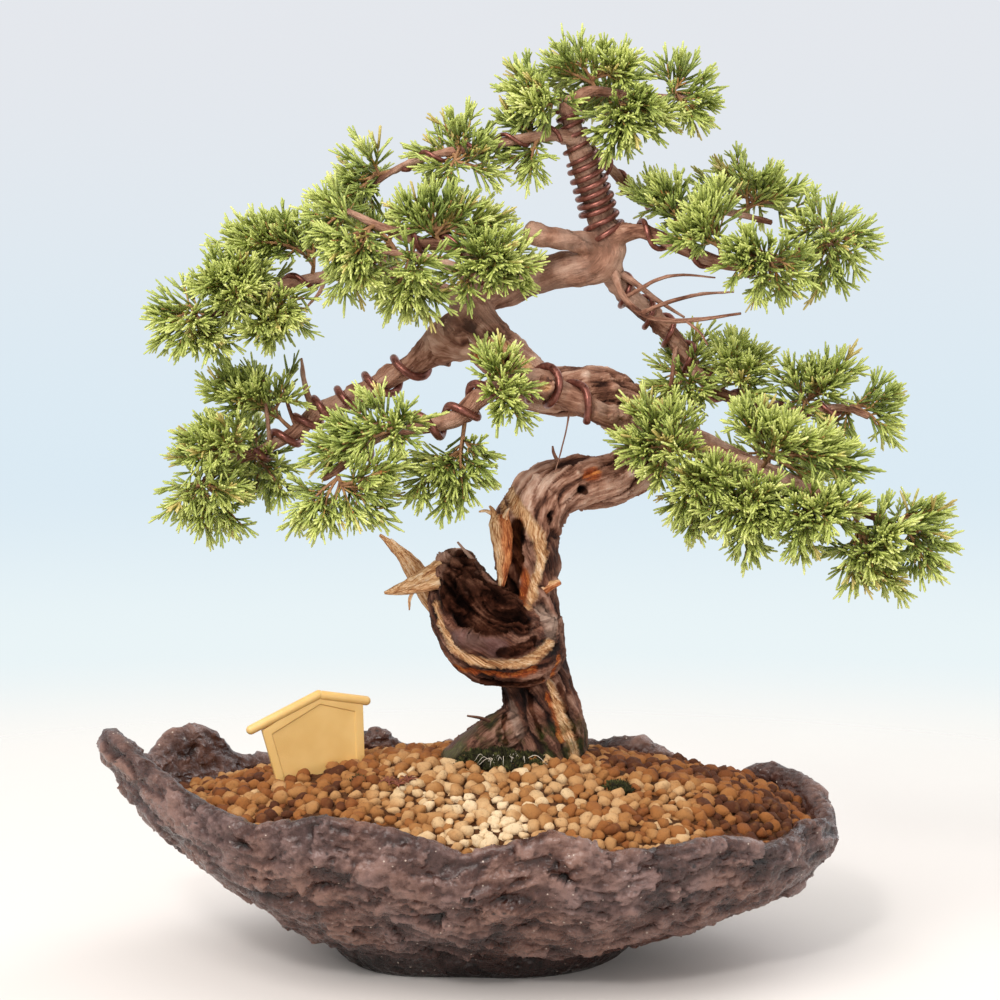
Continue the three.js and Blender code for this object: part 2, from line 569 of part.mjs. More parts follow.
// The same wall as its facets run, between the rows.
function innerFacet(angle, s) {
  const i = Math.min(INNER_ROWS.findIndex((row) => row >= s), INNER_ROWS.length - 1) || 1;
  const [r0, z0] = innerPoint(angle, INNER_ROWS[i - 1]);
  const [r1, z1] = innerPoint(angle, INNER_ROWS[i]);
  const share = (s - INNER_ROWS[i - 1]) / (INNER_ROWS[i] - INNER_ROWS[i - 1]);
  return [THREE.MathUtils.lerp(r0, r1, share), THREE.MathUtils.lerp(z0, z1, share)];
}

// Skins a stack of closed rings; each ring is a function of the azimuth.
function ringStack(rings, bottomZ, topZ) {
  const n = columnAngles.length;
  const positions = [];
  rings.forEach((ring) => columnAngles.forEach((angle) => {
    const [r, z] = ring(angle);
    positions.push(r * Math.cos(angle), r * Math.sin(angle), z);
  }));
  positions.push(0, 0, bottomZ, 0, 0, topZ);
  const centre = rings.length * n;
  const index = [];
  for (let k = 0; k < n; k++) {
    const next = (k + 1) % n;
    for (let i = 0; i < rings.length - 1; i++) {
      const a = i * n;
      const b = a + n;
      index.push(a + k, a + next, b + next, a + k, b + next, b + k);
    }
    index.push(centre, next, k);
    index.push(centre + 1, (rings.length - 1) * n + k, (rings.length - 1) * n + next);
  }
  const geometry = new THREE.BufferGeometry();
  geometry.setAttribute('position', new THREE.BufferAttribute(new Float32Array(positions), 3));
  geometry.setIndex(index);
  return toSolid(geometry);
}

// lining: how much thicker the inside is made, to cut the soil clear of the wall.
function makePot(lining = 0) {
  const foot = [
    (angle) => [footRadius(angle) * POT.footTaper[0], 0],
    (angle) => [footRadius(angle) * POT.footTaper[1], 0.5 * POT.footHeight],
  ];
  const outer = OUTER_ROWS.map((s) => (angle) => outerPoint(angle, s));
  const lip = (angle) => {
    const rim = rimAt(angle);
    return [rim.r - 0.5 * POT.wall, rim.z + 1.5];
  };
  const inner = INNER_ROWS.toReversed().map((s) => (angle) => {
    const [r, z] = innerPoint(angle, s);
    return [r - lining, z + 0.5 * lining];
  });
  const shell = ringStack([...foot, ...outer, lip, ...inner], 0, POT.floor + 0.5 * lining);
  const holes = [-1, 1].map((side) => {
    const drill = new THREE.CylinderGeometry(DRAIN.radius, DRAIN.radius, 3 * POT.floor, 16);
    drill.rotateX(Math.PI / 2);
    drill.translate(side * DRAIN.reach, 0, 0.5 * POT.floor);
    return toSolid(drill);
  });
  return shell.subtract(join(holes));
}

// ---------------------------------------------------------------- the soil
// The mound of grit: highest at the trunk, lower all round.
function soilHeight(x, y) {
  const across = (x - SOIL.crownX) / (x < SOIL.crownX ? SOIL.reachLeft : SOIL.reachRight);
  const deep = (y - SOIL.crownY) / SOIL.reachDeep;
  const away = Math.hypot(across, deep);
  const mound = SOIL.crown - SOIL.fall * away * away / (0.4 + 0.6 * away);
  const grains = Math.sin(0.83 * x + 0.2 * y) * Math.sin(0.91 * y - 0.3 * x)
    + 0.6 * Math.sin(0.37 * x - 0.52 * y + 1);
  return mound + SOIL.grain * grains;
}

// Where the soil meets the inside of the wall: the share of the wall's height.
function soilLine(angle) {
  let low = 0.3;
  let high = 0.94;
  for (let i = 0; i < 20; i++) {
    const middle = 0.5 * (low + high);
    const [r, z] = innerFacet(angle, middle);
    if (z < soilHeight(r * Math.cos(angle), r * Math.sin(angle))) low = middle;
    else high = middle;
  }
  return low;
}

function makeSoil(fills) {
  const inset = 4 * GAP;
  const wallRows = [0, 0.2, 0.55, 1];
  const wall = wallRows.map((share) => (angle) => {
    const [r, z] = innerFacet(angle, share * soilLine(angle));
    return [r - inset, z + (share === 0 ? DRAIN.thickness + 2 * GAP : 0)];
  });
  const top = [0.84, 0.6, 0.3].map((share) => (angle) => {
    const edge = innerFacet(angle, soilLine(angle))[0] - inset;
    const r = share * edge;
    return [r, soilHeight(r * Math.cos(angle), r * Math.sin(angle))];
  });
  const floor = POT.floor + DRAIN.thickness + 2 * GAP;
  const mound = ringStack([...wall, ...top], floor, soilHeight(0, 0));
  return biggest(mound.subtract(join([makePot(2 * GAP), ...fills])));
}

// A square of plastic mesh over each drain hole, on the pot's floor.
function makeDrainMesh(side) {
  const { mesh, thickness, bar } = DRAIN;
  const pitch = (mesh - bar) / 2;
  const plate = toSolid(new THREE.BoxGeometry(mesh, mesh, thickness));
  const holes = [];
  for (const row of [-0.5, 0.5]) {
    for (const column of [-0.5, 0.5]) {
      const hole = new THREE.BoxGeometry(pitch - bar, pitch - bar, 3 * thickness);
      holes.push(toSolid(hole.translate(row * pitch, column * pitch, 0)));
    }
  }
  return plate.subtract(join(holes))
    .translate([side * DRAIN.reach, 0, POT.floor + GAP + 0.5 * thickness]);
}

// ---------------------------------------------------------------- the plaque
function makeLabel(grow = 0) {
  const flat = (points, thickness) => {
    const shape = new THREE.Shape(points.map(([x, y]) => new THREE.Vector2(x, y)));
    const depth = thickness + 2 * grow;
    const geometry = new THREE.ExtrudeGeometry(shape, { depth, bevelEnabled: false });
    geometry.rotateX(Math.PI / 2);
    geometry.translate(0, 0.5 * depth, 0);
    geometry.rotateZ(LABEL.turn);
    geometry.translate(...LABEL.place);
    return toSolid(geometry);
  };
  const middle = [-1, 8];
  const body = LABEL.outline.map(([x, y]) => {
    const reach = Math.hypot(x - middle[0], y - middle[1]);
    const factor = 1 + (1.4 * grow) / reach;
    return [middle[0] + (x - middle[0]) * factor, middle[1] + (y - middle[1]) * factor];
  });
  const h = LABEL.barHeight;
  const [left, peak, right] = LABEL.roof;
  const roof = [left, [left[0] + 1, left[1] - h], [peak[0], peak[1] - h], [right[0], right[1] - h],
    right, [peak[0], peak[1] + 0.6]];
  return join([flat(body, LABEL.thickness), flat(roof, LABEL.barDepth)]);
}

// ---------------------------------------------------------------- finishes
const paint = (color, roughness, metalness = 0) =>
  new THREE.MeshStandardMaterial({ color, roughness, metalness });
const clay = paint(0x4a3d40, 0.55);
const bark = paint(0x6d5346, 0.85);
const grit = paint(0xb08a5c, 0.95);
const plaque = paint(0xe8cf8c, 0.5);
const meshPlastic = paint(0x2a2a2c, 0.6);
const wireMetal = paint(0x6b3f30, 0.35, 0.8);
const leaf = paint(0x6f8a36, 0.75);

// ---------------------------------------------------------------- assembly
const bonsai = new THREE.Group();
const wood = makeWood();
const grownWood = makeWood(GAP + 0.05);
const label = makeLabel();
const grownLabel = makeLabel(GAP);
const pot = makePot();
const soil = makeSoil([grownWood, grownLabel]);

bonsai.add(toMesh('pot', pot, clay));
bonsai.add(toMesh('soil', soil, grit));
bonsai.add(toMesh('drain_mesh_left', makeDrainMesh(-1), meshPlastic));
bonsai.add(toMesh('drain_mesh_right', makeDrainMesh(1), meshPlastic));
bonsai.add(toMesh('label_plaque', label, plaque));
bonsai.add(toMesh('tree_wood', wood, bark));

const placed = [label, soil, pot];
const addWire = (name, coil) => {
  const solid = biggest(coil.subtract(grownWood));
  placed.push(solid);
  bonsai.add(toMesh(name, solid, wireMetal));
};
for (const [name, [limb, ...turns]] of Object.entries(WIRES)) {
  addWire(name, makeCoil(limbs[limb], turns));
}
const { from, to, turns, radius, start } = COLUMN_WIRE;
addWire('wire_column', makeCoil(crown, [from, to, turns, radius, start]));

const random = seeded(SEED);
for (const [name, stem] of Object.entries(LEAFY_STEMS)) {
  const spray = makeSpray(stem, wood, grownWood, placed, random);
  if (spray) {
    placed.push(spray);
    bonsai.add(toMesh(`spray_${name}`, spray, leaf));
  }
}

export default bonsai;
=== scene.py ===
# %% [markdown]
# # A juniper bonsai in a rock-like pot
# The tree, its wires and its pot already stand in the frame as plain solids at their
# real size. This lesson dresses them: fired clay that looks like broken rock, a mound of
# pumice grains, old twisted wood, soft copper wire and thousands of cord-like shoots.
# A modeller could sculpt all of this by hand, but a tree is mostly rules: where a branch
# goes, what grows on it and how the light wears its bark. So nearly every shape here
# is a rule with a few driving sizes. The frame is loaded first, so that each piece can
# be grown on the solid that it belongs to.

# %% Load the frame
import json
import math
import bmesh
import bpy
import numpy as np
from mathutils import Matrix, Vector, noise
from mathutils.bvhtree import BVHTree

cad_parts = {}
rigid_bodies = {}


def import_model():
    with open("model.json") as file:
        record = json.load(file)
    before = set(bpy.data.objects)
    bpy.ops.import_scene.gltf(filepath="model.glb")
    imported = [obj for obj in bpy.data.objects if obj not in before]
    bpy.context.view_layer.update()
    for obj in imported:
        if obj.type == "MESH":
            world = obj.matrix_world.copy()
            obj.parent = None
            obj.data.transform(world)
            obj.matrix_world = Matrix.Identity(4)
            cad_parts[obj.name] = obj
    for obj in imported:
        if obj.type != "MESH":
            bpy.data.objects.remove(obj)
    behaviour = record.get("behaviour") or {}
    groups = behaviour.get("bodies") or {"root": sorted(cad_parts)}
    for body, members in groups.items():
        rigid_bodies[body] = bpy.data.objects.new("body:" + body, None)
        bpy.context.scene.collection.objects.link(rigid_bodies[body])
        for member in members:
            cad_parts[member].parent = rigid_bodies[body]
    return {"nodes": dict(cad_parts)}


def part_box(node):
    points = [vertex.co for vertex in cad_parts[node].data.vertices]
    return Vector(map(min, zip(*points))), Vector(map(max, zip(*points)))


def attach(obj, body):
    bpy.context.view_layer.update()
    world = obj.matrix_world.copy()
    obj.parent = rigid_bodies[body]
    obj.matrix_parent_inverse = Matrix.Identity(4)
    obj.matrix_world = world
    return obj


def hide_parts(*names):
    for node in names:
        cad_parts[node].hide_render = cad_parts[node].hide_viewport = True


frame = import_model()
MM = 0.001  # the sizes below are in millimetres, and Blender's are in metres
NOISE_SEED = 11  # Blender's vector noise differs from run to run unless it is given one
noise.seed_set(NOISE_SEED)
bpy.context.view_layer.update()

# %% [markdown]
# ## Camera, light and floor
# The picture is a product shot: a long lens a little above the pot, a pale sweep behind
# it and soft light from all sides. A camera could be aimed with a constraint, but a
# place and one tilt say the same and stay readable. The floor fades into the pale
# world behind it, so that no horizon cuts the pot, and one big soft lamp from the upper
# left gives the wood its shape.

# %% Camera, light and floor
LENS = 104.4  # a short telephoto on a 36 mm wide sensor
CAMERA_PLACE = (0.0084, -1.22, 0.343)
CAMERA_TILT = 6.845  # degrees down
# The world's colour by the slope of the view: 0 is straight down and 1 is straight up.
SKY = [(0.0, (0.95, 0.92, 0.89)), (0.36, (1.0, 0.955, 0.91)), (0.398, (1.0, 1.0, 0.965)),
       (0.416, (0.865, 0.955, 0.98)), (0.445, (0.75, 0.87, 0.952)), (0.525, (0.82, 0.845, 0.89)),
       (0.6, (0.93, 0.93, 0.93)), (1.0, (0.97, 0.96, 0.94))]
SKY_STRENGTH = 0.95
FLOOR_RADIUS = 1.1
FLOOR_FADE = (0.12, 0.8)  # metres from the pot between which the floor melts into the world
FLOOR_COLOUR = (0.745, 0.7, 0.67)
LAMPS = {  # place, looks at, width, watts, colour
    "key": ((-0.9, -1.1, 1.5), (0, 0, 0.2), 1.3, 26, (1.0, 0.97, 0.93)),
    "rim": ((1.0, 0.9, 1.2), (0, 0, 0.25), 1.0, 9, (0.93, 0.96, 1.0)),
    "fill": ((0.95, -0.85, 0.3), (0.05, 0, 0.08), 0.5, 2.2, (1.0, 0.97, 0.93)),
    "glint": ((-0.35, -1.2, 0.95), (0, 0, 0.15), 0.16, 7, (1.0, 0.98, 0.96)),
}


def feed(tree, socket, value):
    """Sets an input to a value, or links it to the socket that gives one."""
    if isinstance(value, bpy.types.NodeSocket):
        tree.links.new(value, socket)
    else:
        socket.default_value = value


def add(tree, kind, inputs=None, **settings):
    """Adds one node to a tree. inputs gives a value, or the socket that feeds it."""
    node = tree.nodes.new(kind)
    for key, value in settings.items():
        setattr(node, key, value)
    for key, value in (inputs or {}).items():
        feed(tree, node.inputs[key], value)
    return node


def in_scene(name, data):
    """A new object in the scene."""
    thing = bpy.data.objects.new(name, data)
    bpy.context.scene.collection.objects.link(thing)
    return thing


def part_of(tree, vector, axis):
    """One number of a vector, by its axis."""
    return add(tree, "ShaderNodeSeparateXYZ", {0: vector}).outputs[axis]


def ramp(tree, factor, stops, interpolation="LINEAR"):
    """Turns a number from 0 to 1 into a colour."""
    node = add(tree, "ShaderNodeValToRGB", {"Fac": factor})
    node.color_ramp.interpolation = interpolation
    elements = node.color_ramp.elements
    while len(elements) < len(stops):
        elements.new(0.5)
    for element, (place, colour) in zip(elements, stops):
        element.position = place
        element.color = (*colour, 1.0)
    return node.outputs["Color"]


def make_camera():
    camera = in_scene("camera", bpy.data.cameras.new("camera"))
    camera.data.lens = LENS
    camera.location = CAMERA_PLACE
    camera.rotation_euler = (math.radians(90 - CAMERA_TILT), 0, 0)
    bpy.context.scene.camera = camera


def make_world():
    world = bpy.data.worlds.new("pale studio")
    bpy.context.scene.world = world
    world.use_nodes = True
    tree = world.node_tree
    slope = part_of(tree, add(tree, "ShaderNodeTexCoord").outputs["Generated"], "Z")
    share = add(tree, "ShaderNodeMapRange", {0: slope, 1: -1.0, 2: 1.0}).outputs[0]
    tree.links.new(ramp(tree, share, SKY, "EASE"), tree.nodes["Background"].inputs["Color"])
    tree.nodes["Background"].inputs["Strength"].default_value = SKY_STRENGTH


def make_lamp(name, place, target, size, watts, colour):
    lamp = in_scene(name, bpy.data.lights.new(name, "AREA"))
    lamp.data.size = size
    lamp.data.energy = watts
    lamp.data.color = colour
    lamp.location = place
    lamp.rotation_euler = (Vector(target) - Vector(place)).to_track_quat("-Z", "Y").to_euler()


def make_floor():
    """A pale disc that fades out to the world at its rim."""
    mesh = bpy.data.meshes.new("floor")
    grid = bmesh.new()
    bmesh.ops.create_circle(grid, cap_ends=True, segments=96, radius=FLOOR_RADIUS)
    grid.to_mesh(mesh)
    floor = in_scene("floor", mesh)
    material = bpy.data.materials.new("pale paper")
    material.use_nodes = True
    tree = material.node_tree
    place = add(tree, "ShaderNodeTexCoord").outputs["Object"]
    reach = add(tree, "ShaderNodeVectorMath", {0: place}, operation="LENGTH").outputs["Value"]
    near, far = FLOOR_FADE
    fade = add(tree, "ShaderNodeMapRange", {0: reach, 1: near, 2: far, 3: 1.0, 4: 0.0},
               interpolation_type="SMOOTHSTEP")
    shader = tree.nodes["Principled BSDF"]
    shader.inputs["Base Color"].default_value = (*FLOOR_COLOUR, 1.0)
    shader.inputs["Roughness"].default_value = 0.7
    shader.inputs["Specular IOR Level"].default_value = 0.2
    tree.links.new(fade.outputs[0], shader.inputs["Alpha"])
    mesh.materials.append(material)


make_camera()
make_world()
for name, settings in LAMPS.items():
    make_lamp(name, *settings)
make_floor()
bpy.context.scene.view_settings.view_transform = "Standard"
print("camera looks", CAMERA_TILT, "degrees down through a", LENS, "mm lens")

# %% [markdown]
# ## Small tools
# Every piece below is made from points in millimetres, so one helper turns points and
# faces into a mesh, one gives a piece its place in the frame, and one stores a number
# at every point, which a material can read back. A tube swept along a curve is the
# basic shape of trunk, bough, twig and wire. Blender's own curve bevel would also sweep
# it, but a swept mesh lets each point know how far along and around the wood it lies,
# and bark, cracks and growth rings all follow that.

# %% Small tools
BODY = "root"


def new_mesh(name, points, faces, material=None):
    mesh = bpy.data.meshes.new(name)
    mesh.from_pydata((np.asarray(points) * MM).tolist(), [], faces)
    mesh.shade_smooth()
    if material:
        mesh.materials.append(material)
    return mesh


def show(name, mesh, slot, *nodes):
    """Puts a finished mesh into the frame; it stands for the given solids."""
    piece = in_scene(name, mesh)
    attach(piece, BODY)
    if nodes:
        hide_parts(*nodes)
    return piece


def triangles(mesh):
    return sum(len(face.vertices) - 2 for face in mesh.polygons)


def store(mesh, name, values):
    """Keeps one number, or one vector, for every point of the mesh."""
    values = np.asarray(values, dtype=np.float32)
    kind, field = ("FLOAT_VECTOR", "vector") if values.ndim == 2 else ("FLOAT", "value")
    mesh.attributes.new(name, kind, "POINT").data.foreach_set(field, values.ravel())


def read_points(mesh, what="co"):
    values = np.empty(len(mesh.vertices) * 3, dtype=np.float32)
    mesh.vertices.foreach_get(what, values)
    return values.reshape(-1, 3) / (MM if what == "co" else 1)


def write_points(mesh, points):
    mesh.vertices.foreach_set("co", (points * MM).astype(np.float32).ravel())
    mesh.update()


def bumps(points, size, octaves=3):
    """Fractal noise from about -1 to 1; size is the width of its biggest bumps."""
    return np.array([noise.fractal(p, 1.0, 2.0, octaves) for p in (points / size).tolist()])


def ridges(points, size):
    """Sharp crests, 1 on the crest and falling to -1 between them."""
    return 1 - 2 * np.abs([noise.noise(p) for p in (points / size).tolist()])


def sway(points, size, octaves, shifts):
    """Three unlike noises for every point, which push it about in all directions."""
    return np.stack([bumps(points + shift, size, octaves) for shift in shifts], axis=-1)


def smoothstep(low, high, values):
    share = np.clip((np.asarray(values) - low) / (high - low), 0, 1)
    return share * share * (3 - 2 * share)


def unit(vectors):
    return vectors / np.maximum(np.linalg.norm(vectors, axis=-1, keepdims=True), 1e-9)


def carry_frames(points):
    """Carries one sideways direction along a line of points without letting it spin."""
    last = len(points) - 1
    index = np.arange(last + 1)
    tangents = unit(points[np.minimum(index + 1, last)] - points[np.maximum(index - 1, 0)])
    side = np.array([0.0, 1.0, 0.0])
    if abs(side @ tangents[0]) > 0.9:
        side = np.array([1.0, 0.0, 0.0])
    sides = []
    for tangent in tangents:
        side = unit(side - (side @ tangent) * tangent)
        sides.append(side)
    sides = np.array(sides)
    return tangents, sides, np.cross(tangents, sides)


def sweep(points, radii, sides, ends=(0.4, 0.4), shape=None, flat=1.0):
    """A closed tube. shape(ring, angle) scales the radius; flat narrows it from front to back."""
    tangents, side, up = carry_frames(points)
    angle = 2 * math.pi * np.arange(sides) / sides
    ring = np.repeat(np.arange(len(points)), sides)
    turn = np.tile(angle, len(points))
    reach = radii[ring] * (shape(ring, turn) if shape else 1)
    skin = (points[ring] + (reach * flat * np.cos(turn))[:, None] * side[ring]
            + (reach * np.sin(turn))[:, None] * up[ring])
    tips = [points[0] - ends[0] * radii[0] * tangents[0],
            points[-1] + ends[1] * radii[-1] * tangents[-1]]
    faces = []
    start = len(skin)
    for k in range(sides):
        following = (k + 1) % sides
        for i in range(len(points) - 1):
            low, high = i * sides, (i + 1) * sides
            faces.append((low + k, low + following, high + following, high + k))
        faces.append((start, following, k))
        faces.append((start + 1, len(skin) - sides + k, len(skin) - sides + following))
    return np.vstack([skin, tips]), faces, ring, turn


def merge(parts):
    """Joins several (points, faces) into one list of each."""
    points, faces, base = [], [], 0
    for part_points, part_faces in parts:
        points.append(part_points)
        faces += [tuple(base + i for i in face) for face in part_faces]
        base += len(part_points)
    return np.vstack(points), faces


def solid_tree(node):
    """The solid's surface, in millimetres, for measuring by rays."""
    mesh = frame["nodes"][node].data
    faces = [face.vertices[:] for face in mesh.polygons]
    return BVHTree.FromPolygons(read_points(mesh).tolist(), faces)


print("tools ready")

# %% [markdown]
# ## Reading a finish
# A finish is a tree of shader nodes. Stone, bark and leaves all vary in colour by some
# number: how deep a hollow lies, how old a shoot is, how far along the grain a fibre
# runs. Painting such numbers by hand would take days. Here they are stored at the
# points while a piece is made, and the finish reads them by name with an Attribute
# node. Fine grain that is smaller than a facet stays in the finish as a bump.

# %% Helpers for finishes
def new_finish(name, roughness=0.6, specular=0.5):
    """A material, its tree, its shader, and the place on the object as a socket."""
    material = bpy.data.materials.new(name)
    material.use_nodes = True
    tree = material.node_tree
    shader = tree.nodes["Principled BSDF"]
    shader.inputs["Roughness"].default_value = roughness
    shader.inputs["Specular IOR Level"].default_value = specular
    return material, tree, shader, add(tree, "ShaderNodeTexCoord").outputs["Object"]


def attribute(tree, name, output="Fac"):
    return add(tree, "ShaderNodeAttribute", attribute_name=name).outputs[output]


def paint(tree, shader, colour):
    tree.links.new(colour, shader.inputs["Base Color"])


def grain_noise(tree, vector, size, detail=3.0, roughness=0.55):
    """Noise whose bumps are size wide, in metres or in units of a stored vector."""
    return add(tree, "ShaderNodeTexNoise", {"Vector": vector, "Scale": 1 / size,
               "Detail": detail, "Roughness": roughness}).outputs["Fac"]


def cells(tree, vector, size):
    """The outputs of a Voronoi texture whose cells are size wide, in metres."""
    return add(tree, "ShaderNodeTexVoronoi", {"Vector": vector, "Scale": 1 / size}).outputs


def mix(tree, factor, first, second):
    """Blends two colours; each is three numbers or a socket."""
    node = add(tree, "ShaderNodeMix", {0: factor}, data_type="RGBA")
    for index, colour in ((6, first), (7, second)):
        feed(tree, node.inputs[index], (*colour, 1.0) if isinstance(colour, tuple) else colour)
    return node.outputs[2]


def calc(tree, operation, first, second=0.0, clamp=False):
    node = add(tree, "ShaderNodeMath", {0: first, 1: second}, operation=operation)
    node.use_clamp = clamp
    return node.outputs[0]


def weigh(tree, *pairs):
    """Adds numbers up, each times its weight."""
    total, *others = [calc(tree, "MULTIPLY", value, weight) for value, weight in pairs]
    for other in others:
        total = calc(tree, "ADD", total, other)
    return total


def vector_calc(tree, operation, first, second):
    return add(tree, "ShaderNodeVectorMath", {0: first, 1: second}, operation=operation).outputs[0]


def stretch(tree, value, low, high, new_low=0.0, new_high=1.0):
    return add(tree, "ShaderNodeMapRange",
               {0: value, 1: low, 2: high, 3: new_low, 4: new_high}).outputs[0]


def bump(tree, shader, height, depth, strength=1.0):
    """depth is in millimetres."""
    node = add(tree, "ShaderNodeBump", {"Height": height, "Distance": depth * MM,
               "Strength": strength})
    tree.links.new(node.outputs["Normal"], shader.inputs["Normal"])


print("finish helpers ready")

# %% [markdown]
# ## The pot
# The pot is pressed from dark clay and torn along its lip so that it looks like a split
# boulder. The solid already has its outline and its main ridges, so the fine pot is
# measured from it: rays find the outer and the inner wall at many heights, and the rings
# between them are smoothed. Sculpting would give the same hollows, but ridged noise in
# coordinates that run round the pot makes torn strata that follow the wall by
# themselves. The finish paints the crests light and what lies deep dark, as painted light
# and shade that follow the relief.

# %% Shape the pot
POT_COLUMNS = 660
SOLID_COLUMNS = 56  # facets round the plain solid, which give the height of its lip
LIP_RISE = 1.5  # how far the middle of the lip stands over its outer edge
LIP_CROWN = 3.1  # how far the lip arches up between its two edges
LIP_STEPS = 11
LIP_OUTER, LIP_INNER = 0.6, 2.6  # how far below that outer edge the two walls end
FOOT = 12  # height of the foot under the wall
FOOT_SHARES = (0.3, 0.6, 0.85, 0.98)  # rings under the foot, as shares of its radius
FOOT_HEIGHTS = (0.9, 3, 5, 7, 9, 11)  # rings round the foot
INSIDE_FLOOR = 13.4
DRAIN_RADIUS = 8
WALL_RINGS = 88
INNER_RINGS = 36
BIG_CHIPS, SMALL_CHIPS = 17, 7.5  # width of the broken facets
CLAY_RELIEF = 7  # from the deepest pit to the highest crest, for the finish
BORE_SIDES = 48
CLEAR = 400  # from here a ray meets the pot from outside
pot_mesh = frame["nodes"]["pot"].data
pot_tree = solid_tree("pot")
pot_angles = 2 * math.pi * np.arange(POT_COLUMNS) / POT_COLUMNS


def level(height):
    return np.full(POT_COLUMNS, float(height))


def smooth_round(values, reach):
    """A running mean round the pot, along the last axis."""
    shifts = range(-reach, reach + 1)
    return sum(np.roll(values, shift, axis=-1) for shift in shifts) / len(shifts)


def crest_heights():
    points = read_points(pot_mesh)
    place = (np.arctan2(points[:, 1], points[:, 0]) + math.pi) * SOLID_COLUMNS / (2 * math.pi)
    nearest = place.astype(int) % SOLID_COLUMNS
    tops = [points[nearest == k, 2].max() for k in range(SOLID_COLUMNS)]
    middles = (np.arange(SOLID_COLUMNS) + 0.5) * 2 * math.pi / SOLID_COLUMNS - math.pi
    signed = (pot_angles + math.pi) % (2 * math.pi) - math.pi
    return smooth_round(np.interp(signed, middles, tops, period=2 * math.pi), 3)


def wall_ring(heights, outside):
    """The radius of the wall at one height for each column."""
    ring = []
    for angle, height in zip(pot_angles, heights):
        way = Vector((math.cos(angle), math.sin(angle), 0))
        start = way * CLEAR if outside else Vector((0, 0, 0))
        start.z = height
        hit = pot_tree.ray_cast(start, -way if outside else way)[0]
        ring.append(math.hypot(hit.x, hit.y) if hit else np.nan)
    ring = np.array(ring)
    missing = np.isnan(ring)
    ring[missing] = np.interp(pot_angles[missing], pot_angles[~missing], ring[~missing])
    return smooth_round(ring, 4)


def pot_rings():
    """Rings of (radius, height) from the middle of the foot, up the wall and down inside."""
    crest = crest_heights()
    outer_top, inner_top = crest - LIP_RISE - LIP_OUTER, crest - LIP_RISE - LIP_INNER
    foot = wall_ring(level(0.4), True)
    rings = [(foot * share, level(0)) for share in FOOT_SHARES]
    rings += [(wall_ring(level(height), True), level(height)) for height in FOOT_HEIGHTS]
    for share in np.linspace(0.02, 1, WALL_RINGS) ** 1.3:
        heights = FOOT + share * (outer_top - FOOT)
        rings.append((wall_ring(heights, True), heights))
    inner_heights = [inner_top - share * (inner_top - INSIDE_FLOOR - 1)
                     for share in np.linspace(0, 1, INNER_RINGS) ** 1.5]
    inner = [(wall_ring(heights, False), heights) for heights in inner_heights]
    (outer_r, outer_z), (inner_r, inner_z) = rings[-1], inner[0]
    for turn in np.linspace(0, math.pi, LIP_STEPS)[1:-1]:
        share = 0.5 - 0.5 * math.cos(turn)
        heights = outer_z + share * (inner_z - outer_z) + LIP_CROWN * math.sin(turn)
        rings.append((outer_r + share * (inner_r - outer_r), heights))
    rings += inner
    rings += [(inner[-1][0] * share, level(INSIDE_FLOOR)) for share in (0.7, 0.3)]
    return rings


def skin_rings(rings, bottom, top):
    """Joins closed rings into one skin, with a middle point at each end."""
    radii = np.array([ring[0] for ring in rings])
    heights = np.array([ring[1] for ring in rings])
    points = np.stack([radii * np.cos(pot_angles), radii * np.sin(pot_angles), heights], axis=-1)
    points = np.vstack([points.reshape(-1, 3), [0, 0, bottom], [0, 0, top]])
    faces = []
    count = POT_COLUMNS
    middle = len(points) - 2
    for k in range(count):
        following = (k + 1) % count
        for i in range(len(rings) - 1):
            low, high = i * count, (i + 1) * count
            faces.append((low + k, low + following, high + following, high + k))
        faces.append((middle, following, k))
        faces.append((middle + 1, middle - count + k, middle - count + following))
    return points, faces


def chips(points, normals, size, seed):
    """Broken facets: each lies askew by chance, so that they meet in torn steps."""
    relief = np.empty(len(points))
    for row, (place, normal) in enumerate(zip((points / size + seed).tolist(), normals)):
        place = Vector(place)
        middle = noise.voronoi(place)[1][0]
        slope = noise.noise_vector(middle * 3.7)
        tilt = (place - middle).dot(slope) * 2.2
        relief[row] = tilt + 0.5 * slope.dot(normal)
    return relief


def rock_relief(points, normals, wall_share):
    """How far strata, torn chips and crumple stand out from the wall, in millimetres."""
    angle = np.arctan2(points[:, 1], points[:, 0])
    hull = np.stack([3.4 * np.cos(angle), 3.4 * np.sin(angle), 7.5 * wall_share], axis=-1)
    hull += 0.3 * sway(points, 30, 3, (0, 90, -90))
    strata = 0.8 * bumps(hull, 1.0, 2) + 1.1 * ridges(hull * [1, 1, 1.5], 0.62)
    warped = points + 2.4 * sway(points, 9, 3, (0, 60, -60))
    askew = [Vector(normal) for normal in normals.tolist()]
    torn = 1.7 * chips(warped * [1, 1, 1.5], askew, BIG_CHIPS, 0)
    torn += 0.85 * chips(warped * [1, 1, 1.4], askew, SMALL_CHIPS, 40)
    crumple = 0.55 * ridges(points * [1, 1, 1.3], 4.6) + 0.5 * bumps(points, 3.0, 2)
    return strata, torn, crumple


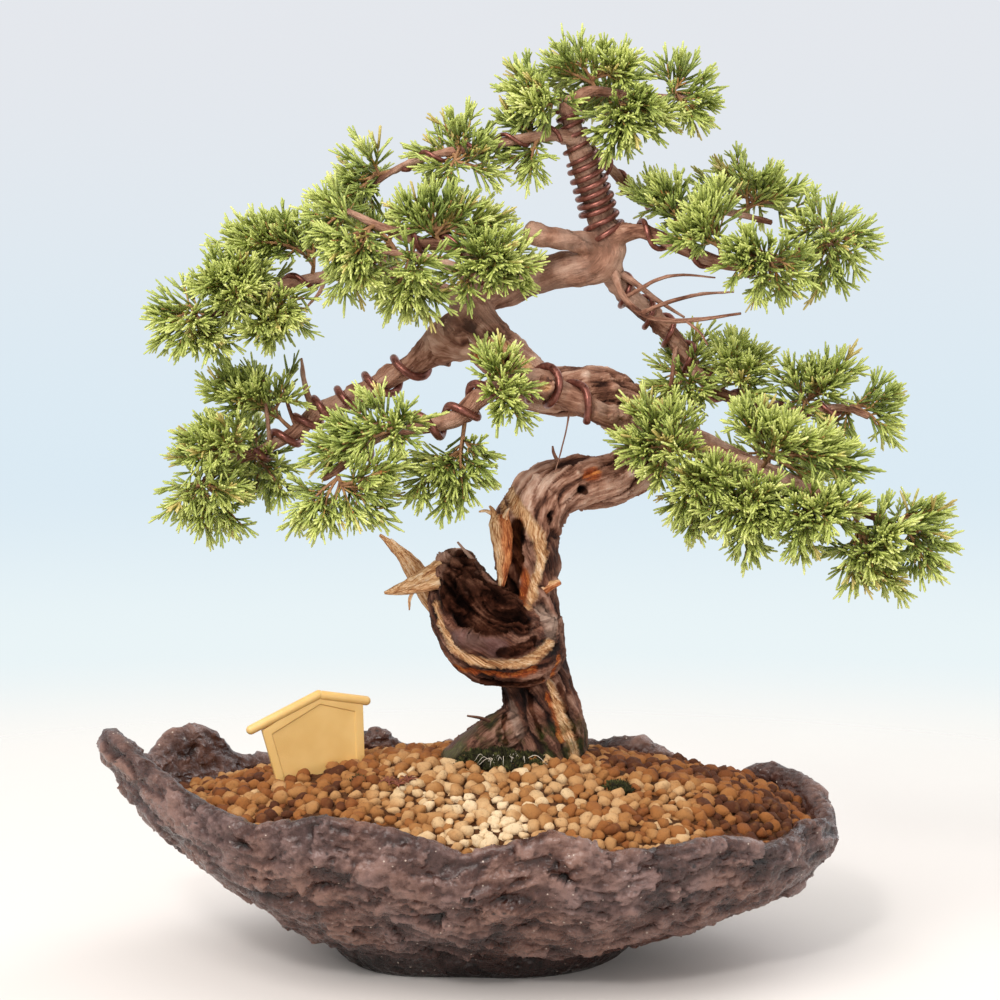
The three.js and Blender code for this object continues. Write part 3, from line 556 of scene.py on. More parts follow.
def make_pot_mesh():
    rings = pot_rings()
    points, faces = skin_rings(rings, 0, INSIDE_FLOOR)
    mesh = new_mesh("pot", points, faces)
    row = np.minimum(np.arange(len(points)) // POT_COLUMNS, len(rings) - 1)
    share = points[:, 2] / crest_heights()[np.arange(len(points)) % POT_COLUMNS]
    lip = len(FOOT_SHARES + FOOT_HEIGHTS) + WALL_RINGS  # the row where the lip begins
    normals = read_points(mesh, "normal")
    strata, torn, crumple = rock_relief(points, normals, share)
    outside = smoothstep(8, 13, row) * (1 - 0.6 * smoothstep(lip - 5, lip + 9, row))
    relief = strata * outside + torn * (0.3 + 0.7 * outside) + crumple
    relief *= smoothstep(3, 5, row) * smoothstep(0, 3, points[:, 2])
    write_points(mesh, points + normals * relief[:, None])
    store(mesh, "relief", np.clip(0.5 + relief / CLAY_RELIEF, 0, 1))
    return mesh


def bake(raw):
    """Turns what an object's modifiers make into a plain mesh, and takes the object away."""
    graph = bpy.context.evaluated_depsgraph_get()
    graph.update()
    final = raw.evaluated_get(graph)
    mesh = bpy.data.meshes.new_from_object(final, preserve_all_data_layers=True, depsgraph=graph)
    bpy.data.objects.remove(raw)
    return mesh


def drill_drains(mesh):
    """Cuts the two drain holes, under the squares of mesh."""
    clay = in_scene("clay", mesh)
    bores = []
    for node in ("drain_mesh_left", "drain_mesh_right"):
        low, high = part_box(node)
        middle = (low + high) / 2 / MM
        line = np.array([[middle.x, middle.y, -10.0], [middle.x, middle.y, 24.0]])
        tube = sweep(line, np.full(2, float(DRAIN_RADIUS)), BORE_SIDES, (0, 0))[:2]
        bore = in_scene("bore", new_mesh("bore", *tube))
        cut = clay.modifiers.new("drain", "BOOLEAN")
        cut.operation = "DIFFERENCE"
        cut.solver = "EXACT"
        cut.object = bore
        bores.append(bore)
    drilled = bake(clay)
    for bore in bores:
        bpy.data.objects.remove(bore)
    return drilled


def clay_tears(tree, place):
    """Cells of torn clay, bent by noise and pressed flat."""
    warp = add(tree, "ShaderNodeTexNoise", {"Vector": place, "Scale": 1 / (5 * MM), "Detail": 2.0})
    shift = vector_calc(tree, "MULTIPLY", warp.outputs["Color"], (3.6 * MM,) * 3)
    moved = vector_calc(tree, "ADD", place, shift)
    return cells(tree, vector_calc(tree, "MULTIPLY", moved, (1, 1, 1.7)), 4.6 * MM)["Distance"]


def clay_colour(tree, place, fine):
    """Mauve crests and black pits as painted light and shade, a foot darkened by painted shade and damp,
    warmer and cooler by turns.
    """
    # The tone follows the stored relief: the ramp paints light on the crests and shade in the pits.
    tone = weigh(tree, (attribute(tree, "relief"), 1.0), (fine, 0.3))
    # Darker towards the foot: painted shade under the pot, together with damp clay.
    tone = calc(tree, "ADD", tone, stretch(tree, part_of(tree, place, "Z"), 0.006, 0.024, -0.2, 0.0))
    warm = ramp(tree, tone, [
        (0.4, (0.004, 0.0015, 0.001)), (0.56, (0.024, 0.007, 0.0045)), (0.74, (0.074, 0.029, 0.02)),
        (0.94, (0.21, 0.112, 0.084))])
    cool = ramp(tree, tone, [
        (0.4, (0.004, 0.002, 0.0015)), (0.56, (0.023, 0.0085, 0.0065)), (0.74, (0.064, 0.031, 0.026)),
        (0.94, (0.178, 0.105, 0.091))])
    return mix(tree, stretch(tree, grain_noise(tree, place, 38 * MM, 3), 0.4, 0.6), cool, warm)


def clay_specks(tree, place):
    """1 on a few small pale specks, and 0 between them."""
    speckled = cells(tree, place, 1.7 * MM)
    pick = add(tree, "ShaderNodeSeparateColor", {0: speckled["Color"]}).outputs[0]
    return calc(tree, "MULTIPLY", stretch(tree, pick, 0.955, 0.975),
                stretch(tree, speckled["Distance"], 0.26, 0.18), True)


def clay_finish():
    """Brown-violet stoneware with a wet-looking gloss, torn in patches."""
    material, tree, shader, place = new_finish("fired clay", specular=0.42)
    fine = grain_noise(tree, place, 2.2 * MM, 4, 0.65)
    tears = clay_tears(tree, place)
    torn_zone = stretch(tree, grain_noise(tree, place, 13 * MM, 3), 0.44, 0.58)
    # Near-black pits in the hollows of the torn cells: painted shade where the bump sinks.
    pit = calc(tree, "MULTIPLY", stretch(tree, tears, 0.3, 0.08), torn_zone, True)
    colour = clay_colour(tree, place, fine)
    colour = mix(tree, calc(tree, "MULTIPLY", pit, 0.92), colour, (0.01, 0.006, 0.006))
    paint(tree, shader, mix(tree, clay_specks(tree, place), colour, (0.5, 0.4, 0.33)))
    tree.links.new(stretch(tree, fine, 0.35, 0.65, 0.18, 0.36), shader.inputs["Roughness"])
    height = weigh(tree, (fine, 0.3), (tears, stretch(tree, torn_zone, 0, 1, 0.12, 0.8)))
    bump(tree, shader, height, 2.0, 0.9)
    return material


pot = drill_drains(make_pot_mesh())
pot.materials.clear()
pot.materials.append(clay_finish())
show("pot_clay", pot, "pot_clay", "pot")
print("pot:", triangles(pot), "triangles")

# %% [markdown]
# ## The grit
# The pot is filled with a dry mix of pale pumice and orange-brown fired clay, about 5
# to 7 mm across. A picture of gravel on the solid would look flat from the side, so
# real grains lie on it. Geometry Nodes are made for this: points are spread over the
# top of the solid with a least distance, a pebble from a small set is put on each, and
# every pebble keeps a number of its own for its colour. A second, lower layer closes
# the gaps.

# %% Grains on the mound
GRAIN_SEED = 4
PEBBLES = 8
PEBBLE_FACES = 80
CHIPS = 10  # flat places knocked off each pebble
CHIP_DEPTH = (0.31, 0.45)  # their distance from its middle
GRAIN_DENSITY = 90000.0  # on a square metre, before the least distance thins them out
PALE_DRIFT = (0.012, -0.05, 0.075)  # the middle of the palest grit, in metres
LAYERS = {  # least distance, smallest, largest, lift, seed
    "grains_upper": (3.9, 3.8, 8.4, 1.0, 1),
    "grains_lower": (3.6, 4.2, 6.8, -1.0, 2),
}


def new_tree(name, sockets):
    """An empty Geometry Nodes tree with named inputs."""
    tree = bpy.data.node_groups.new(name, "GeometryNodeTree")
    tree.is_modifier = True
    face = tree.interface
    face.new_socket("Geometry", in_out="INPUT", socket_type="NodeSocketGeometry")
    for label, kind in sockets.items():
        face.new_socket(label, in_out="INPUT", socket_type="NodeSocket" + kind)
    face.new_socket("Geometry", in_out="OUTPUT", socket_type="NodeSocketGeometry")
    return tree, add(tree, "NodeGroupInput").outputs


def close_tree(tree, geometry, *finishes):
    """Makes the instances real, sets each material where its selection holds, and ends the tree."""
    smooth = add(tree, "GeometryNodeSetShadeSmooth", {"Geometry": geometry})
    last = add(tree, "GeometryNodeRealizeInstances", {0: smooth.outputs[0]})
    for material, where in finishes:
        last = add(tree, "GeometryNodeSetMaterial",
                   {"Geometry": last.outputs[0], "Selection": where, "Material": material})
    add(tree, "NodeGroupOutput", {"Geometry": last.outputs[0]})


def grow(mesh, tree, **values):
    """Runs a tree on a mesh, with its inputs set by identifier, and keeps what it makes."""
    seedling = in_scene(tree.name, mesh)
    modifier = seedling.modifiers.new(tree.name, "NODES")
    modifier.node_group = tree
    for socket in tree.interface.items_tree:
        key = socket.name.replace(" ", "_")
        if socket.in_out == "INPUT" and key in values:
            modifier[socket.identifier] = values[key]
    return bake(seedling)


def random_value(tree, kind, low, high, seed):
    """kind is FLOAT, INT or FLOAT_VECTOR."""
    node = add(tree, "FunctionNodeRandomValue", data_type=kind)
    first = {"FLOAT_VECTOR": 0, "FLOAT": 2, "INT": 4}[kind]
    node.inputs[first].default_value = low
    node.inputs[first + 1].default_value = high
    feed(tree, node.inputs["Seed"], seed)
    return node.outputs[{"FLOAT_VECTOR": 0, "FLOAT": 1, "INT": 2}[kind]]


def keep_set(name, meshes):
    """A collection with one object for each mesh, for a tree to pick from."""
    group = bpy.data.collections.new(name)
    for mesh in meshes:
        group.objects.link(bpy.data.objects.new(mesh.name, mesh))
    return group


def pebble_meshes():
    """A few chipped pebbles, each about one unit across."""
    chance = np.random.default_rng(GRAIN_SEED)
    for number in range(PEBBLES):
        ball = bmesh.new()
        bmesh.ops.create_icosphere(ball, subdivisions=2, radius=0.5)
        cuts = [(Vector(unit(chance.normal(0, 1, 3))), chance.uniform(*CHIP_DEPTH))
                for _ in range(CHIPS)]
        for corner in ball.verts:
            for way, depth in cuts:
                corner.co -= way * max(0.0, corner.co.dot(way) - depth)
            corner.co *= 1.12 + 0.16 * noise.noise(corner.co * 4.0 + Vector((7.0 * number, 0, 3)))
            corner.co.y *= 0.86
            corner.co.z *= 0.76
        mesh = bpy.data.meshes.new(f"pebble {number}")
        ball.to_mesh(mesh)
        mesh.shade_smooth()
        yield mesh


def shape_set(tree, group):
    """The shapes of a collection, each an instance of its own."""
    return add(tree, "GeometryNodeCollectionInfo",
               {"Collection": group, "Separate Children": True, "Reset Children": True}).outputs[0]


def scatter_tree(group, material):
    """Strews the shapes of a set over a surface, each turned and scaled by chance."""
    tree, inputs = new_tree("scatter grains", {"Least distance": "Float", "Density": "Float",
                            "Smallest": "Float", "Largest": "Float", "Lift": "Float", "Seed": "Int"})
    spread = add(tree, "GeometryNodeDistributePointsOnFaces",
                 {"Mesh": inputs["Geometry"], "Distance Min": inputs["Least distance"],
                  "Density Max": inputs["Density"], "Seed": inputs["Seed"]},
                 distribute_method="POISSON")
    lift = add(tree, "ShaderNodeCombineXYZ", {"Z": inputs["Lift"]}).outputs[0]
    raised = add(tree, "GeometryNodeSetPosition", {"Geometry": spread.outputs["Points"], "Offset": lift})
    tint = add(tree, "GeometryNodeStoreNamedAttribute",
               {"Geometry": raised.outputs[0], "Name": "tint",
                "Value": random_value(tree, "FLOAT", 0.0, 1.0, inputs["Seed"])})
    size = random_value(tree, "FLOAT", 0.0, 1.0, 11)
    span = add(tree, "ShaderNodeMapRange", {0: size, 3: inputs["Smallest"], 4: inputs["Largest"]})
    uneven = random_value(tree, "FLOAT_VECTOR", (0.85, 0.85, 0.85), (1.18, 1.18, 1.18), 12)
    scale = add(tree, "ShaderNodeVectorMath", {0: uneven, "Scale": span.outputs[0]}, operation="SCALE")
    spin = random_value(tree, "FLOAT_VECTOR", (-0.7, -0.7, -math.pi), (0.7, 0.7, math.pi), 13)
    laid = add(tree, "GeometryNodeInstanceOnPoints",
               {"Points": tint.outputs[0], "Instance": shape_set(tree, group), "Pick Instance": True,
                "Instance Index": random_value(tree, "INT", 0, len(group.objects) - 1, 14),
                "Rotation": spin, "Scale": scale.outputs[0]})
    close_tree(tree, laid.outputs[0], (material, True))
    return tree


def mound_top():
    """The upper faces of the solid mound."""
    top = bmesh.new()
    top.from_mesh(frame["nodes"]["soil"].data)
    bmesh.ops.remove_doubles(top, verts=top.verts, dist=1e-6)
    low = [face for face in top.faces
           if face.normal.z < 0.35 or face.calc_center_median().z < 0.04]
    bmesh.ops.delete(top, geom=low, context="FACES")
    mesh = bpy.data.meshes.new("mound top")
    top.to_mesh(mesh)
    return mesh


def grit_finish():
    """Pale pumice in drifts, and orange-brown fired clay elsewhere."""
    material, tree, shader, place = new_finish("pumice and fired clay", 0.9, 0.25)
    drift = grain_noise(tree, place, 46 * MM, 2)
    centre = vector_calc(tree, "SUBTRACT", place, PALE_DRIFT)
    flat = vector_calc(tree, "MULTIPLY", centre, (0.8, 1.0, 0.2))
    reach = add(tree, "ShaderNodeVectorMath", {0: flat}, operation="LENGTH").outputs["Value"]
    zone = calc(tree, "ADD", stretch(tree, reach, 0.018, 0.062, 0.42, 0.0),
                stretch(tree, drift, 0.45, 0.7, -0.12, 0.32))
    right = stretch(tree, part_of(tree, place, "X"), 0.05, 0.12, 0.0, 0.16)
    zone = calc(tree, "SUBTRACT", zone, right)
    tint = calc(tree, "ADD", calc(tree, "MULTIPLY", attribute(tree, "tint"), 0.62), zone, True)
    colour = ramp(tree, tint, [
        (0.0, (0.075, 0.022, 0.008)), (0.1, (0.2, 0.062, 0.016)), (0.3, (0.29, 0.108, 0.028)),
        (0.5, (0.365, 0.17, 0.056)), (0.66, (0.48, 0.265, 0.113)), (0.82, (0.6, 0.4, 0.21)),
        (1.0, (0.72, 0.55, 0.345))])
    pores = grain_noise(tree, place, 1.1 * MM, 4, 0.7)
    stain = grain_noise(tree, place, 3.4 * MM, 2)
    colour = mix(tree, stretch(tree, stain, 0.55, 0.75, 0.0, 0.4), colour, (0.3, 0.13, 0.04))
    # Darker where the pore bump sinks: painted shade in the pores.
    colour = mix(tree, stretch(tree, pores, 0.45, 0.3, 0.0, 0.55), colour, (0.12, 0.055, 0.02))
    paint(tree, shader, colour)
    bump(tree, shader, pores, 0.7, 0.7)
    return material


scatter = scatter_tree(keep_set("pebbles", pebble_meshes()), grit_finish())
for name, (distance, smallest, largest, lift, seed) in LAYERS.items():
    grown = grow(mound_top(), scatter, Least_distance=distance * MM, Density=GRAIN_DENSITY,
                 Smallest=smallest * MM, Largest=largest * MM, Lift=lift * MM, Seed=GRAIN_SEED + seed)
    show(name, grown, "grit")
    print(name, triangles(grown), "triangles,", triangles(grown) // PEBBLE_FACES, "grains")


# The solid under the grains shows only in the gaps between them, so its dark colour is painted shade
# between the grains.
def grit_gap_shade_finish():
    material, tree, shader, place = new_finish("dust between grains", 0.95, 0.2)
    fine = grain_noise(tree, place, 2.4 * MM, 4, 0.7)
    paint(tree, shader, ramp(tree, fine, [(0.3, (0.03, 0.01, 0.003)), (0.7, (0.13, 0.05, 0.017))]))
    bump(tree, shader, fine, 1.5)
    return material


def repaint(node, material):
    """Gives a solid whose shape is right its finish."""
    mesh = frame["nodes"][node].data
    mesh.materials.clear()
    mesh.materials.append(material)


repaint("soil", grit_gap_shade_finish())

# %% [markdown]
# ## The plaque and the drain meshes
# A small plaque in the outline of a gabled house stands in the grit. It is moulded
# plastic: a flat body with a sunk panel on each face and two round rods for a roof. An
# inset makes the panel, and a small bevel rounds every edge, because no moulded edge
# is knife-sharp. The two squares of drain mesh lie hidden on the pot's floor; their
# solids already have the right shape and only get their black plastic.

# %% Plaque and drain meshes
PLAQUE_OUTLINE = [(-17.5, -16), (18.2, -12), (17.2, 29), (-2.6, 35), (-27.7, 20.6)]
PLAQUE_ROOF = [[(-32.4, 21.2), (-2.4, 34.4)], [(-0.8, 34.0), (18.8, 30.4)]]
PLAQUE_THICK = 2.4
PLAQUE_BEVEL = 0.35
ROOF_ROD = 2.05  # radius of the rods of the roof
ROD_SIDES = 20
PANEL_MARGIN = 4.4
PANEL_SLOPE = 0.45  # width of the step down to the panel
PANEL_SUNK = 0.7
PLAQUE_TURN = 0.35  # radians
PLAQUE_PLACE = (-67, 3, 78)


def rod_points(start, end, radius, rings=7):
    """A straight rod with round ends, as a line of points and a radius at each."""
    start, end = np.array(start, float), np.array(end, float)
    along = unit(end - start)
    turn = np.linspace(0.12, math.pi / 2, rings)
    first = [(start - along * radius * math.cos(t), radius * math.sin(t)) for t in turn]
    last = [(end + along * radius * math.cos(t), radius * math.sin(t)) for t in turn[::-1]]
    points, radii = zip(*(first + last))
    return np.array(points), np.array(radii)


def plaque_finish():
    material, tree, shader, place = new_finish("pale yellow plastic", 0.42, 0.45)
    cloud = grain_noise(tree, place, 14 * MM, 2)
    paint(tree, shader, ramp(tree, cloud, [(0.35, (0.68, 0.42, 0.138)), (0.65, (0.735, 0.48, 0.175))]))
    shader.inputs["Subsurface Weight"].default_value = 0.15
    shader.inputs["Subsurface Radius"].default_value = (0.004, 0.002, 0.001)
    bump(tree, shader, grain_noise(tree, place, 0.8 * MM, 3), 0.12, 0.5)
    return material


def make_plaque():
    body = bmesh.new()
    half = PLAQUE_THICK / 2
    front = body.faces.new([body.verts.new((x, -half, z)) for x, z in PLAQUE_OUTLINE])
    back = bmesh.ops.extrude_face_region(body, geom=[front])["geom"]
    for corner in (v for v in back if isinstance(v, bmesh.types.BMVert)):
        corner.co.y = half
    bmesh.ops.recalc_face_normals(body, faces=body.faces)
    plates = [face for face in body.faces if abs(face.normal.y) > 0.9]
    for plate in plates:
        bmesh.ops.inset_region(body, faces=[plate], thickness=PANEL_MARGIN)
        bmesh.ops.inset_region(body, faces=[plate], thickness=PANEL_SLOPE, depth=-PANEL_SUNK)
    bmesh.ops.bevel(body, geom=body.edges, offset=PLAQUE_BEVEL, segments=2, affect="EDGES",
                    profile=0.7, clamp_overlap=True)
    body.faces.ensure_lookup_table()
    panel_points = np.array([tuple(v.co) for v in body.verts])
    panel_faces = [tuple(v.index for v in face.verts) for face in body.faces]
    rods = []
    for (x0, z0), (x1, z1) in PLAQUE_ROOF:
        line, radii = rod_points((x0, 0, z0), (x1, 0, z1), ROOF_ROD)
        rods.append(sweep(line, radii, ROD_SIDES, (0.1, 0.1))[:2])
    points, faces = merge([(panel_points, panel_faces), *rods])
    x, y, z = points.T
    cos, sin = math.cos(PLAQUE_TURN), math.sin(PLAQUE_TURN)
    turned = np.stack([x * cos - y * sin, x * sin + y * cos, z], axis=-1)
    mesh = new_mesh("plaque", turned + PLAQUE_PLACE, faces, plaque_finish())
    mesh.set_sharp_from_angle(angle=math.radians(40))
    return mesh


def drain_finish():
    material, tree, shader, place = new_finish("black plastic mesh", 0.55, 0.4)
    fine = grain_noise(tree, place, 1.5 * MM)
    paint(tree, shader, ramp(tree, fine, [(0.3, (0.01, 0.01, 0.011)), (0.7, (0.03, 0.03, 0.033))]))
    bump(tree, shader, fine, 0.1)
    return material


plaque = make_plaque()
show("plaque", plaque, "label_plastic", "label_plaque")
black_mesh = drain_finish()
for node in ("drain_mesh_left", "drain_mesh_right"):
    repaint(node, black_mesh)
print("plaque:", triangles(plaque), "triangles")

# %% [markdown]
# ## The skeleton of the tree
# Trunk, boughs, wires and leafy stems are all drawn along the same few curves, which
# are the ones that the solids were grown from. Each station gives a place and a radius,
# and a smooth curve runs through them. Keeping one skeleton means that a wire lies on
# its bough and a leafy stem starts inside it, from whatever side one looks.

# %% Skeleton
TRUNK = {
    "column": [(29, 9, 62, 15), (28, 8, 76, 18), (28, 8, 90, 17.5), (26, 8, 104, 16), (23, 6, 120, 15),
        (22, 4, 134, 14)],
    "bowl": [(27, 2, 139, 10), (21, -3, 134, 16), (6, -6, 139, 21), (-5, -3, 151, 17.5),
        (-10, 0, 162, 12.5), (-13, 0, 171, 9)],
    "neck": [(24, 5, 136, 11), (20, 3, 156, 12), (20, 2, 171, 13.8), (20, 0, 186, 14.5),
        (24, -1, 197, 12.5)],
    "shoulder": [(20, 0, 188, 12), (28, 0, 199, 12.5), (41, 2, 204, 11), (58, 8, 205, 10.5),
        (72, 14, 214, 10), (69, 14, 228, 10.5), (56, 6, 239, 11.2), (43, 0, 243, 10.5), (26, -4, 244, 10),
        (10, -4, 257, 10.5), (-5, 0, 267, 10)],
    "crown": [(-6, 1, 266, 9.5), (-5, 9, 279, 9), (12, 12, 287, 8.5), (34, 8, 293, 8), (49, 4, 295, 7),
        (55, 4, 303, 6.3), (51, 4, 314, 6), (47, 2, 327, 5.5), (42, 0, 342, 5), (38, 0, 355, 4),
        (36, 0, 365, 3)],
}
ROOTS = {
    "left": [(21, 4, 100, 11), (5, 2, 94, 9), (-8, -2, 87, 6), (-20, -6, 77, 4)],
    "back": [(28, 12, 100, 10), (30, 26, 88, 8), (24, 40, 74, 4)],
}
LIMBS = {
    "L1": [(-8, 0, 267, 9), (-17, 2, 262, 8.5), (-28, 6, 254, 4.6), (-43, 12, 245, 4.2),
        (-58, 16, 237, 4.2), (-70, 18, 232, 4), (-79, 18, 224, 3), (-94, 16, 216, 2.2),
        (-107, 12, 211, 1.8), (-118, 10, 204, 1.2)],
    "L2": [(62, 0, 229, 5), (49, -10, 235, 4.5), (33, -17, 244, 5), (24, -22, 248, 6),
        (10, -26, 248, 4.5), (-1, -30, 242, 4), (-11, -34, 234, 3.6), (-26, -38, 231, 3.2),
        (-41, -42, 228, 2.6), (-53, -45, 218, 2.2), (-64, -47, 211, 1.4)],
    "L3": [(-1, 10, 277, 4), (-21, 18, 287, 2.6), (-41, 20, 293, 2.2), (-62, 18, 291, 2.4),
        (-81, 14, 287, 2.2), (-98, 8, 280, 1.8), (-112, 4, 275, 1.5), (-121, 3, 272, 1.1)],
    "L4": [(8, 8, 285, 4), (1, -8, 295, 3), (-10, -20, 303, 2.6), (-26, -28, 307, 2.2),
        (-41, -32, 313, 1.8), (-54, -32, 319, 1.2)],
    "L5": [(41, -2, 348, 3), (27, -8, 350, 2.2), (10, -12, 347, 2), (-5, -12, 344, 1.7),
        (-21, -10, 341, 1.5), (-35, -6, 336, 1.3), (-47, -4, 327, 1.1)],
    "A": [(36, 0, 362, 3), (46, 2, 368, 2.2), (59, 4, 367, 1.8), (73, 6, 366, 1.4), (87, 6, 365, 1.1)],
    "R1": [(52, 4, 306, 5), (67, -4, 310, 3), (87, -10, 302, 2.6), (108, -14, 296, 2.4),
        (129, -12, 298, 2.2), (141, -9, 303, 1.7), (149, -7, 306, 1.1)],
    "R1b": [(46, 2, 344, 2.6), (56, 10, 335, 2), (66, 18, 324, 1.8), (85, 26, 320, 1.6),
        (107, 30, 317, 1.4), (125, 30, 313, 1.1)],
    "R3": [(54, 4, 297, 5), (59, 10, 287, 4.2), (70, 14, 276, 4), (80, 18, 267, 3.8), (90, 20, 254, 3.2),
        (100, 18, 242, 2.6), (119, 12, 235, 2.2), (138, 4, 234, 1.9), (153, 0, 236, 1.5),
        (164, 0, 232, 1.1)],
    "R2": [(70, 6, 221, 7), (82, -10, 223, 4.2), (97, -20, 219, 3.4), (116, -26, 212, 3),
        (136, -30, 204, 2.6), (157, -32, 196, 2), (176, -32, 188, 1.2)],
    "B1": [(71, 18, 220, 6), (82, 38, 223, 3.6), (99, 55, 217, 2.8), (120, 66, 207, 2),
        (143, 70, 197, 1.2)],
    "B2": [(4, 14, 284, 4.5), (-5, 34, 290, 3), (-18, 52, 295, 2.4), (-34, 64, 298, 1.8),
        (-49, 70, 300, 1.1)],
}
# One run of wood from the ground to the top, so that the grain never breaks off.
STEM = TRUNK["column"] + TRUNK["neck"][1:4] + TRUNK["shoulder"][1:-1] + TRUNK["crown"][1:]


class Curve:
    """A smooth curve through stations of x, y, z and radius."""

    def __init__(self, stations):
        self.stations = np.array(stations, float)

    def at(self, share):
        """Places and radii at shares from 0 to 1 of the run of stations."""
        s = self.stations
        padded = np.vstack([2 * s[0] - s[1], s, 2 * s[-1] - s[-2]])
        place = np.clip(np.atleast_1d(share), 0, 1) * (len(s) - 1)
        i = np.minimum(place.astype(int), len(s) - 2)
        f = (place - i)[:, None]
        before, a, b, after = padded[i], padded[i + 1], padded[i + 2], padded[i + 3]
        leave, arrive = 0.5 * (b - before), 0.5 * (after - a)
        curve = ((2 * a - 2 * b + leave + arrive) * f**3
                 + (-3 * a + 3 * b - 2 * leave - arrive) * f**2 + leave * f + a)
        return curve[:, :3], (a + (b - a) * f)[:, 3]

    def every(self, step):
        """Places and radii about step millimetres apart."""
        rough = self.at(np.linspace(0, 1, 8 * len(self.stations)))[0]
        length = np.linalg.norm(np.diff(rough, axis=0), axis=1).sum()
        return self.at(np.linspace(0, 1, max(3, round(length / step))))


limbs = {name: Curve(stations) for name, stations in LIMBS.items()}
stem = Curve(STEM)
bowl = Curve(TRUNK["bowl"])
roots = [Curve(stations) for stations in ROOTS.values()]
crown = Curve(TRUNK["crown"])
print("skeleton:", len(STEM), "stations up the stem,", len(limbs), "boughs")

# %% [markdown]
# ## The old wood
# The trunk stands like a coiled snake: a dark column, a bowl-shaped lobe with a rotted
# hollow, a twisted neck and a shoulder that folds back on itself. On the real tree these
# have grown together, so swept tubes alone would show seams where they cross. A voxel
# remesh melts them into one skin, and a few rounds of smoothing round off the joints.
# Then the skin is worked like real wood: each point finds the run of wood it belongs
# to, and bark ridges, bare strips, knots and rot are pushed in or out along the grain.

# %% Raise the trunk
VOXEL = 0.84
RELAX_ROUNDS = 7
COLLARS = ("L1", "L2", "L3", "L4", "R1", "R3", "R2", "B1", "B2")
COLLAR_RINGS = 14
SKIN_SIDES = 24
STUB = [(53, 4, 303, 5), (40, -2, 306, 4.6), (28, -6, 308, 4.7), (20, -8, 310, 4.9)]  # a sawn bough
KNOB = [(27, -14, 247, 4.6), (27, -24, 247.3, 4.2), (27, -33, 247.7, 3.8)]  # a cut side bough
# Rotted hollows, as in the solid: the middle and the half sizes of each.
HOLLOWS = [((3, -22, 153), (15, 8.5, 12)), ((15, -14, 168), (4.5, 6, 13)),
           ((8, -16, 256), (9, 5, 4.5))]
RUNS_APART = 400.0  # keeps the grain of different runs from lining up
ROWS_AT_ONCE = 8000  # points measured in one go, to spare memory
GRAIN_PACE = 0.16  # noise runs so much slower along the grain than across it
GRAIN_TWIST = 0.028  # radians that the grain turns on each millimetre
BARK_CHIPS = 5.5  # width of the flakes
WOOD_RELIEF = 6  # from the deepest crack to the highest ridge, for the finish
YOUNG_HEIGHTS = (262, 285)  # between these the bark turns young and smooth
DAMP_HEIGHTS = (92, 108)  # between these the moss on the foot ends
MARK_KINDS = ("bare", "rust", "char", "mauve", "pale")
